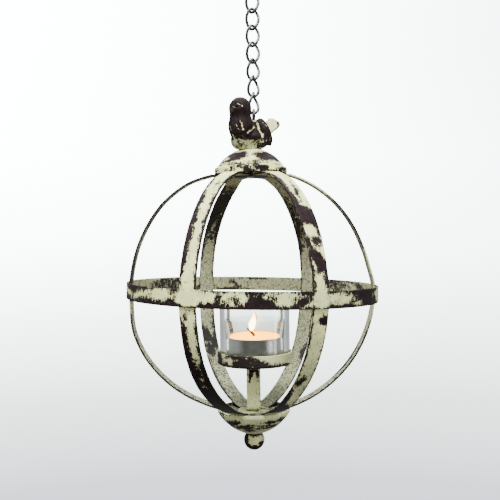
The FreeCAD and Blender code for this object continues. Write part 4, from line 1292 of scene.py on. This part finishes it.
def wick():
    """A cotton wick that bends over to the left; returns its tip."""
    low, high = span_in_cage("tealight_wick")
    foot = np.array([DISH_X, 0.0, low[2] + 0.3])
    bend = np.array([DISH_X, 0.0, WAX_TOP - 0.4])
    tip = np.array([low[0] - 0.1, -0.35, high[2] + 0.1])
    path = [foot + (bend - foot) * s for s in np.linspace(0, 0.97, 16)]
    for s in np.linspace(0, 1, 22)[1:]:
        sag = np.array([0.5 * math.sin(s * math.pi), 0, 0.25 * math.sin(2.2 * s * math.pi)])
        path.append(bend + (tip - bend) * s + sag * (1 - 0.4 * s))
    share = np.linspace(0, 1, len(path))
    radius = (0.85 - 0.10 * np.clip((share - 0.6) * 2.5, 0, 1)
              + 0.10 * np.clip((share - 0.93) * 14, 0, 1))
    verts, faces = tube(path, radius)
    verts = verts + 0.05 * np.sin(verts[:, [2, 0, 1]] * 7.0)
    burnt = np.clip((verts[:, 2] - WAX_TOP + 0.3) / 0.9, 0, 1)
    make_piece("wick_stalk", Form().add(verts, faces, verts, coat_of(burnt)), WICK, "tealight",
               "wick_cotton", "tealight_wick")
    return tip


# (piece, material, width, height, drop below the wick's tip, shift to the right)
FLAME_SHAPES = (("flame", FLAME, 3.3, 14.6, 1.8, 3.2), ("flame_edge", HALO, 4.3, 15.6, 1.6, 4.0))


def flame(tip):
    """A leaning teardrop of light on the wick's end, inside a fainter one."""
    for name, material, width, height, drop, shift in FLAME_SHAPES:
        profile = [(width * 2.05 * s ** 0.55 * (1 - s) ** 0.95, height * s)
                   for s in np.linspace(0, 1, 30)[1:-1]]
        turned = Turned([(0.0, 0.0), *profile, (0.0, height)], 40, closed=False)
        share = turned.z / height
        lean = 2.4 * share ** 1.3 - 0.8
        verts = np.stack([turned.x + lean + tip[0] + shift, turned.y * 0.8 + tip[1],
                          turned.z + tip[2] - drop], -1)
        form = Form().add(verts, turned.faces, verts, coat_of(share))
        piece = make_piece(name, form, material, "tealight", None)
        piece.visible_shadow = piece.visible_diffuse = False
    data = bpy.data.lights.new("flame_glow", "POINT")
    data.energy, data.color, data.shadow_soft_size = 0.025, (1.0, 0.55, 0.22), 0.003
    glow = bpy.data.objects.new("flame_glow", data)
    glow.location = Vector((tip + np.array([1.0, -0.2, 7.0])) * MM + CAGE)
    bpy.context.scene.collection.objects.link(glow)
    glow.visible_camera = glow.visible_transmission = glow.visible_glossy = False
    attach(glow, "tealight")


glass()
tin()
wax()
flame(wick())


# ---------------------------------------------------------------- chain and hook

def link_path(turn):
    """A link's centreline: an oval twisted so that its two ends are a quarter turn apart."""
    path = []
    for t in np.linspace(0, 2 * math.pi, LINK_POINTS, endpoint=False):
        rise, side = math.cos(t), math.sin(t)
        reach = LINK_REACH * math.copysign(abs(side) ** 0.88, side)
        angle = math.radians(LINK_TWIST * rise + turn)
        path.append((reach * math.cos(angle), reach * math.sin(angle), LINK_HALF * rise))
    return np.array(path)


def chain():
    """Seven twisted wire links, each thicker where its ends are welded."""
    for index, turn in enumerate(LINK_TURNS):
        body = "link_%d" % (index + 1)
        node = "chain_" + body
        path = link_path(turn)
        seam = np.exp(-((np.arange(len(path)) - LINK_SEAM) / 1.6) ** 2)
        verts, faces = tube(path, LINK_WIRE / 2 * (1 + 0.10 * seam), closed=True)
        form = Form().add(verts, faces, verts + 40 * index)
        make_piece(body + "_wire", form, CHAIN, body, "chain_steel", node, at=middle_of(node))


def chain_eye():
    """A ring in the bird's back, turned to suit the lowest link, on a short shank."""
    plane = math.radians(LINK_TURNS[-1] - LINK_TWIST + 90.0)
    low, high = span_in_cage("chain_eye")
    centre = np.array([in_cage("chain_eye")[0], 0.0, high[2] - EYE_WIRE / 2 - EYE_RADIUS])
    along = np.array([math.cos(plane), math.sin(plane), 0.0])
    ring_path = [centre + EYE_RADIUS * (math.cos(a) * along + math.sin(a) * UP)
                 for a in np.linspace(math.radians(-84), math.radians(262), 72)]
    shank = [np.array([centre[0], 0, z])
             for z in np.linspace(low[2], centre[2] - EYE_RADIUS, 20)]
    form = Form()
    form.add(*tube(ring_path, EYE_WIRE / 2))
    form.add(*tube(shank, EYE_SHANK))
    make_piece("eye_wire", form, CHAIN, "lantern", "chain_steel", "chain_eye")


def hook():
    """An open hook, drawn flat from its tip over the top and through its neck to an eye."""
    bend = HOOK_INNER + HOOK_WIRE / 2
    sweep = bend + HOOK_NECK
    turn = math.acos(HOOK_NECK / sweep)
    neck = (sweep * math.cos(turn), -HOOK_INNER - sweep * math.sin(turn))
    path = [(-bend, -HOOK_INNER - HOOK_TIP * (1 - s)) for s in np.linspace(0, 1, 8)[:-1]]
    path += [(bend * math.cos(a), -HOOK_INNER + bend * math.sin(a))
             for a in np.linspace(math.pi, -turn, 60)]
    path += [(neck[0] + HOOK_NECK * math.cos(a), neck[1] + HOOK_NECK * math.sin(a))
             for a in np.linspace(math.pi - turn, math.pi, 24)[1:]]
    path += [(0.0, neck[1] - HOOK_SHANK)]
    flat = np.array(path)
    angle = math.radians(HOOK_PLANE)
    across = np.array([math.cos(angle), math.sin(angle), 0.0])
    points = flat[:, :1] * across + flat[:, 1:] * UP
    eye_z = neck[1] - HOOK_SHANK - HOOK_EYE
    eye = [HOOK_EYE * math.cos(a) * across + (eye_z + HOOK_EYE * math.sin(a)) * UP
           for a in np.linspace(math.radians(96), math.radians(444), 84)]
    form = Form()
    form.add(*tube(resample(points, 0.6), HOOK_WIRE / 2, around=24))
    form.add(*tube(eye, HOOK_EYE_WIRE / 2, around=24))
    make_piece("hook_wire", form, CHAIN, "hook", "chain_steel", "top_hook", at=(0, 0, 0))


chain()
chain_eye()
hook()


# ---------------------------------------------------------------- bird finial

BIRD_STEP = 0.42
BIRD_LOW, BIRD_HIGH = np.array([-19.5, -23.0, 98.6]), np.array([24.0, 17.5, 139.5])


def smooth_union(a, b, blend):
    """Two distances as one shape, with a fillet where they meet."""
    h = np.clip(0.5 + 0.5 * (b - a) / blend, 0, 1)
    return b * (1 - h) + a * h - blend * h * (1 - h)


def ellipsoid(p, centre, radii, axes=None):
    """About the distance from points to an ellipsoid, below zero inside it."""
    q = p - np.array(centre)
    if axes is not None:
        q = q @ np.array(axes).T
    k0 = np.linalg.norm(q / np.array(radii), axis=-1)
    k1 = np.linalg.norm(q / np.array(radii) ** 2, axis=-1)
    return k0 * (k0 - 1) / np.maximum(k1, 1e-6)


def capsule(p, start, end, radius):
    """The distance from points to a straight rod with round ends."""
    start, end = np.array(start, float), np.array(end, float)
    way = end - start
    t = np.clip((p - start) @ way / (way @ way), 0, 1)
    return np.linalg.norm(p - start - t[..., None] * way, axis=-1) - radius


def near_path(p, path):
    """The distance from points to a path of straight pieces."""
    near = np.full(p.shape[:-1], 1e9)
    for start, end in zip(path, path[1:]):
        near = np.minimum(near, capsule(p, start, end, 0.0))
    return near


def rounded_box(flat, corner):
    """The distance to a box from (|place| - half size) pairs, its corners rounded."""
    return np.linalg.norm(np.maximum(flat, 0), axis=-1) + np.minimum(flat.max(-1), 0) - corner


def unit(v):
    v = np.array(v, float)
    return v / np.linalg.norm(v)


def frame_along(way, towards):
    """Rows: the way, then across it, then the direction nearest to towards."""
    a = unit(way)
    c = unit(np.array(towards) - a * (np.array(towards) @ a))
    return np.array([a, np.cross(c, a), c])


HEADING = unit((-0.90, -0.43, 0.0))
CAMSIDE = unit((0.43, -0.90, 0.0))
HEAD, BEAK_ROOT = np.array([-6.9, -12.2, 128.0]), np.array([-6.9, -12.2, 126.6])
# The round masses of the body, as (centre, radii, blend): breast, body, thigh, belly, flank
# and back, each blended into what comes before it.
BIRD_MASSES = (
    ((-6.7, -10.6, 116.2), (8.7, 8.4, 11.6), 3.2),
    ((0.6, -0.4, 109.0), (11.3, 11.0, 10.0), 1.6),
    ((2.2, -8.6, 108.6), (5.6, 4.6, 3.9), 0.9),
    ((-6.4, -7.2, 106.6), (7.6, 7.4, 7.2), 1.4),
    ((5.6, -3.4, 105.8), (7.2, 6.6, 5.0), 1.4),
    ((3.6, 0.6, 117.6), (5.0, 5.0, 4.6), 2.0),
)
# Each wing's centre, the way it points and the way it faces.
WINGS = (
    ((10.0, -4.9, 112.4), (0.40, 0.10, -0.91), (0.62, -0.78, 0.05)),
    ((-6.0, 7.8, 112.4), (0.38, 0.25, -0.89), (-0.35, 0.93, 0.05)),
)
TAIL_ROOT, TAIL_TIP = np.array([8.0, 4.6, 111.0]), np.array([18.9, 9.8, 123.0])


def wing(p, centre, way, out):
    """An oval wing that tapers towards its tip, with its feathers as grooves."""
    local = (p - np.array(centre)) @ frame_along(way, out).T
    along, across, depth = local[..., 0], local[..., 1], local[..., 2]
    taper = 1.0 - 0.30 * np.clip(along / 10.0, -1, 1) ** 3
    oval = ellipsoid(np.stack([along, across / taper, depth], -1), (0, 0, 0), (10.6, 4.5, 4.5))
    groove = 0.42 * np.exp(-((np.abs(across) % 2.1 - 1.05) / 0.42) ** 2)
    return oval + groove * np.clip((along + 4.5) / 4, 0, 1)


def tail(p):
    """A flat tail that widens towards its end, with grooves along it."""
    axes = frame_along(TAIL_TIP - TAIL_ROOT, (-0.2, -0.9, 0.4))
    local = (p - (TAIL_ROOT + TAIL_TIP) / 2) @ axes.T
    along, across, depth = local[..., 0], np.abs(local[..., 1]), np.abs(local[..., 2])
    half = np.linalg.norm(TAIL_TIP - TAIL_ROOT) / 2
    widen = 3.2 + 2.0 * np.clip((along + half) / (1.4 * half), 0, 1)
    flat = np.stack([np.abs(along) - half + 3.2, across - widen + 3.2], -1)
    slab = rounded_box(np.stack([rounded_box(flat, 3.2) + 0.8, depth - 0.45], -1), 0.8)
    return slab + 0.30 * np.exp(-((across % 2.4 - 1.2) / 0.3) ** 2)


def bird_shape(p):
    """The distance from points, in mm in the cage frame, to the bird's surface."""
    shape = ellipsoid(p, HEAD, (7.9, 7.7, 8.1))
    for centre, radii, blend in BIRD_MASSES:
        shape = smooth_union(shape, ellipsoid(p, centre, radii), blend)
    for centre, way, out in WINGS:
        shape = smooth_union(shape, wing(p, centre, way, out), 0.7)
    shape = smooth_union(shape, capsule(p, (-0.5, -1.5, 100), (-0.2, -1.0, 104), 7.6), 1.5)
    shape = smooth_union(shape, tail(p), 1.4)
    for side in (0.72, -0.72):
        spot = HEAD + 7.45 * unit(0.66 * HEADING + side * CAMSIDE + 0.18 * UP)
        from_spot = np.linalg.norm(p - spot, axis=-1)
        shape = shape + 0.5 * np.exp(-((from_spot - 1.7) / 0.5) ** 2)
        shape = smooth_union(shape, from_spot - 0.85, 0.3)
    beak = BEAK_ROOT + 7.3 * unit(0.93 * HEADING + 0.30 * CAMSIDE)
    way = unit(0.35 * HEADING + 0.25 * CAMSIDE - 0.9 * UP)
    beak_shape = ellipsoid(p, beak + 1.2 * way, (2.7, 1.25, 1.25), frame_along(way, HEADING))
    shape = smooth_union(shape, beak_shape, 0.8)
    for path, width, depth in BIRD_GROOVES:
        shape = shape + depth * np.exp(-(near_path(p, path) / width) ** 2)
    return np.maximum(shape, BIRD_SEAT_Z + 0.02 - p[..., 2])


# Cuts in the casting: a path in mm, its half width and its depth.
BIRD_GROOVES = [
    ([(-14.6, -17.0, 126.5), (-12.4, -19.0, 129.3), (-9.4, -19.9, 130.2),
      (-6.2, -19.8, 129.0)], 0.55, 0.6),
    ([(-11.8, -18.0, 121.0), (-11.2, -18.2, 116.5), (-10.2, -17.6, 111.5)], 0.6, 0.75),
    ([(-9.0, -19.0, 120.5), (-8.4, -19.2, 116.0), (-7.4, -18.6, 111.5)], 0.6, 0.8),
    ([(-6.4, -19.2, 118.0), (-5.8, -19.2, 114.5), (-5.0, -18.4, 111.0)], 0.55, 0.6),
    ([(-14.0, -15.0, 120.0), (-14.2, -14.6, 115.0), (-13.2, -14.2, 110.5)], 0.6, 0.7),
    ([(2.6, -14.0, 119.0), (1.4, -15.5, 115.0), (-2.4, -17.0, 111.4),
      (-7.0, -16.8, 109.4)], 0.8, 1.0),
]


# Strokes of cream on the cast bird, two of them painted highlights: a path in mm and the stroke's
# half width.
BIRD_STROKES = [
    # a painted highlight on the head
    ([(-8.6, -19.2, 130.4), (-6.9, -19.4, 129.7), (-5.2, -19.7, 128.5)], 0.45),
    ([(-13.3, -16.9, 127.3), (-11.4, -18.5, 128.2), (-8.3, -19.6, 127.3)], 0.22),
    ([(-11.1, -18.3, 125.0), (-9.0, -18.9, 124.4)], 0.2),
    ([(-7.2, -18.7, 119.1), (-6.0, -18.7, 116.0), (-5.0, -18.4, 113.0)], 0.55),
    ([(-9.8, -18.4, 116.1), (-8.5, -18.3, 112.7)], 0.42),
    ([(-12.1, -15.1, 109.6), (-11.4, -13.8, 107.4)], 0.4),
    ([(-14.4, -14.8, 118.0), (-13.4, -14.4, 111.0)], 0.35),
    ([(2.8, -8.0, 121.0), (2.6, -8.5, 115.7), (0.5, -14.5, 112.4), (-1.8, -16.2, 110.7)], 0.7),
    ([(5.1, -8.5, 118.1), (6.1, -8.7, 113.5), (8.2, -8.7, 110.3)], 0.8),
    ([(8.2, -8.7, 110.3), (8.7, -7.6, 106.6), (8.7, -5.0, 103.4)], 1.15),
    # a painted highlight on the wing
    ([(9.1, -8.7, 118.6), (11.5, -8.3, 116.3)], 0.42),
    ([(12.4, -8.4, 107.8), (13.8, -6.5, 105.2)], 0.35),
    ([(3.8, -2.5, 122.5), (5.6, 0.5, 121.8), (3.0, 4.5, 121.0)], 2.6),
    ([(11.0, 6.0, 113.6), (18.8, 9.8, 122.6)], 7.0),
    ([(-2.6, -10.5, 103.6), (0.0, -10.0, 101.4), (2.0, -8.5, 100.6)], 2.2),
]


def surface_net(values, low, step):
    """A closed quad mesh on the zero surface of a grid of distances."""
    inside = values < 0
    shape = np.array(values.shape)
    cells = tuple(shape - 1)
    total, hits = np.zeros(cells + (3,)), np.zeros(cells)
    corners = [(i, j, k) for i in (0, 1) for j in (0, 1) for k in (0, 1)]

    def part(array, corner):
        i, j, k = corner
        return array[i:i + cells[0], j:j + cells[1], k:k + cells[2]]

    for a in corners:
        for axis in range(3):
            if a[axis]:
                continue
            b = tuple(a[n] + (n == axis) for n in range(3))
            va, vb = part(values, a), part(values, b)
            cut = part(inside, a) != part(inside, b)
            share = np.where(cut, va / np.where(cut, va - vb, 1), 0)
            for n in range(3):
                total[..., n] += np.where(cut, a[n] + (share if n == axis else 0), 0)
            hits += cut
    used = hits > 0
    number = np.full(cells, -1)
    number[used] = np.arange(used.sum())
    place = np.argwhere(used) + total[used] / hits[used][:, None]
    verts = np.array(low) + place * step
    faces = []
    for axis in range(3):
        u, v = (axis + 1) % 3, (axis + 2) % 3
        first = [slice(1, -1)] * 3
        first[axis] = slice(0, -1)
        second = list(first)
        second[axis] = slice(1, None)
        crossed = np.argwhere(inside[tuple(first)] != inside[tuple(second)])
        base = crossed + np.array([0 if n == axis else 1 for n in range(3)])
        quad = []
        for du, dv in ((0, 0), (1, 0), (1, 1), (0, 1)):
            cell = base.copy()
            cell[:, u] -= du
            cell[:, v] -= dv
            quad.append(number[tuple(cell.T)])
        faces.append(np.stack(quad, -1))
    return verts, np.concatenate(faces).tolist()


def bird_paint(verts):
    """Dark cast feathers with cream left in the hollows, on the tail and round the feet; two
    painted highlights.
    """
    x, y, z = verts.T
    field = np.full(len(verts), -0.85)
    for path, width in BIRD_STROKES:
        field = np.maximum(field, np.clip((width - near_path(verts, path)) / 0.9, -1, 1))
    field = np.maximum(field, np.clip((106.4 - z) / 3.0, -1, 0.30))  # the feet
    field = np.where((x > 4.5) & (z < 104.6) & (z > 101), np.minimum(field, -0.55), field)
    field = np.where((x > 9.6) & (z < 109.5) & (z > 101), np.minimum(field, -0.6), field)
    mottled = np.maximum(field, 0.35 * np.sin(0.55 * x + 0.4 * z) - 0.35)
    field = np.where((y > 4) & (x < 9), mottled, field)
    field = np.where((x > 19.0) & (z > 116), field - 1.1, field)
    field = np.where(z < 101.6, np.maximum(field, 0.5), field)
    specks = np.where(z < 106, 0.95, 0.5)
    tone = np.where(z < 107, 0.62, np.where((x > 10.5) & (y > 4.5), 0.5, 0.20))
    return coat_of(field, specks, tone)


def bird():
    """The cast bird, meshed on a grid and then drawn onto its true surface."""
    axes = [np.arange(low, high, BIRD_STEP) for low, high in zip(BIRD_LOW, BIRD_HIGH)]
    values = bird_shape(np.stack(np.meshgrid(*axes, indexing="ij"), -1))
    verts, faces = surface_net(values, BIRD_LOW, BIRD_STEP)
    for _ in range(2):  # settle the vertices on the true surface
        here = bird_shape(verts)
        slope = np.stack([(bird_shape(verts + d) - here) / 0.05 for d in np.eye(3) * 0.05], -1)
        length = np.maximum((slope ** 2).sum(-1), 0.25)
        move = -(here / length)[:, None] * slope
        verts = verts + np.clip(move, -0.15, 0.15)
    brush = verts * np.array([1, 1, 0.6]) + 200
    iron_piece("bird_cast", "bird_finial", Form().add(verts, faces, brush, bird_paint(verts)))


bird()


# ---------------------------------------------------------------- small CAD nodes that stay

for node in ("finial_stud", "wick_tab"):
    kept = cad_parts[node]
    kept.data.materials.clear()
    kept.data.materials.append(ZINC)
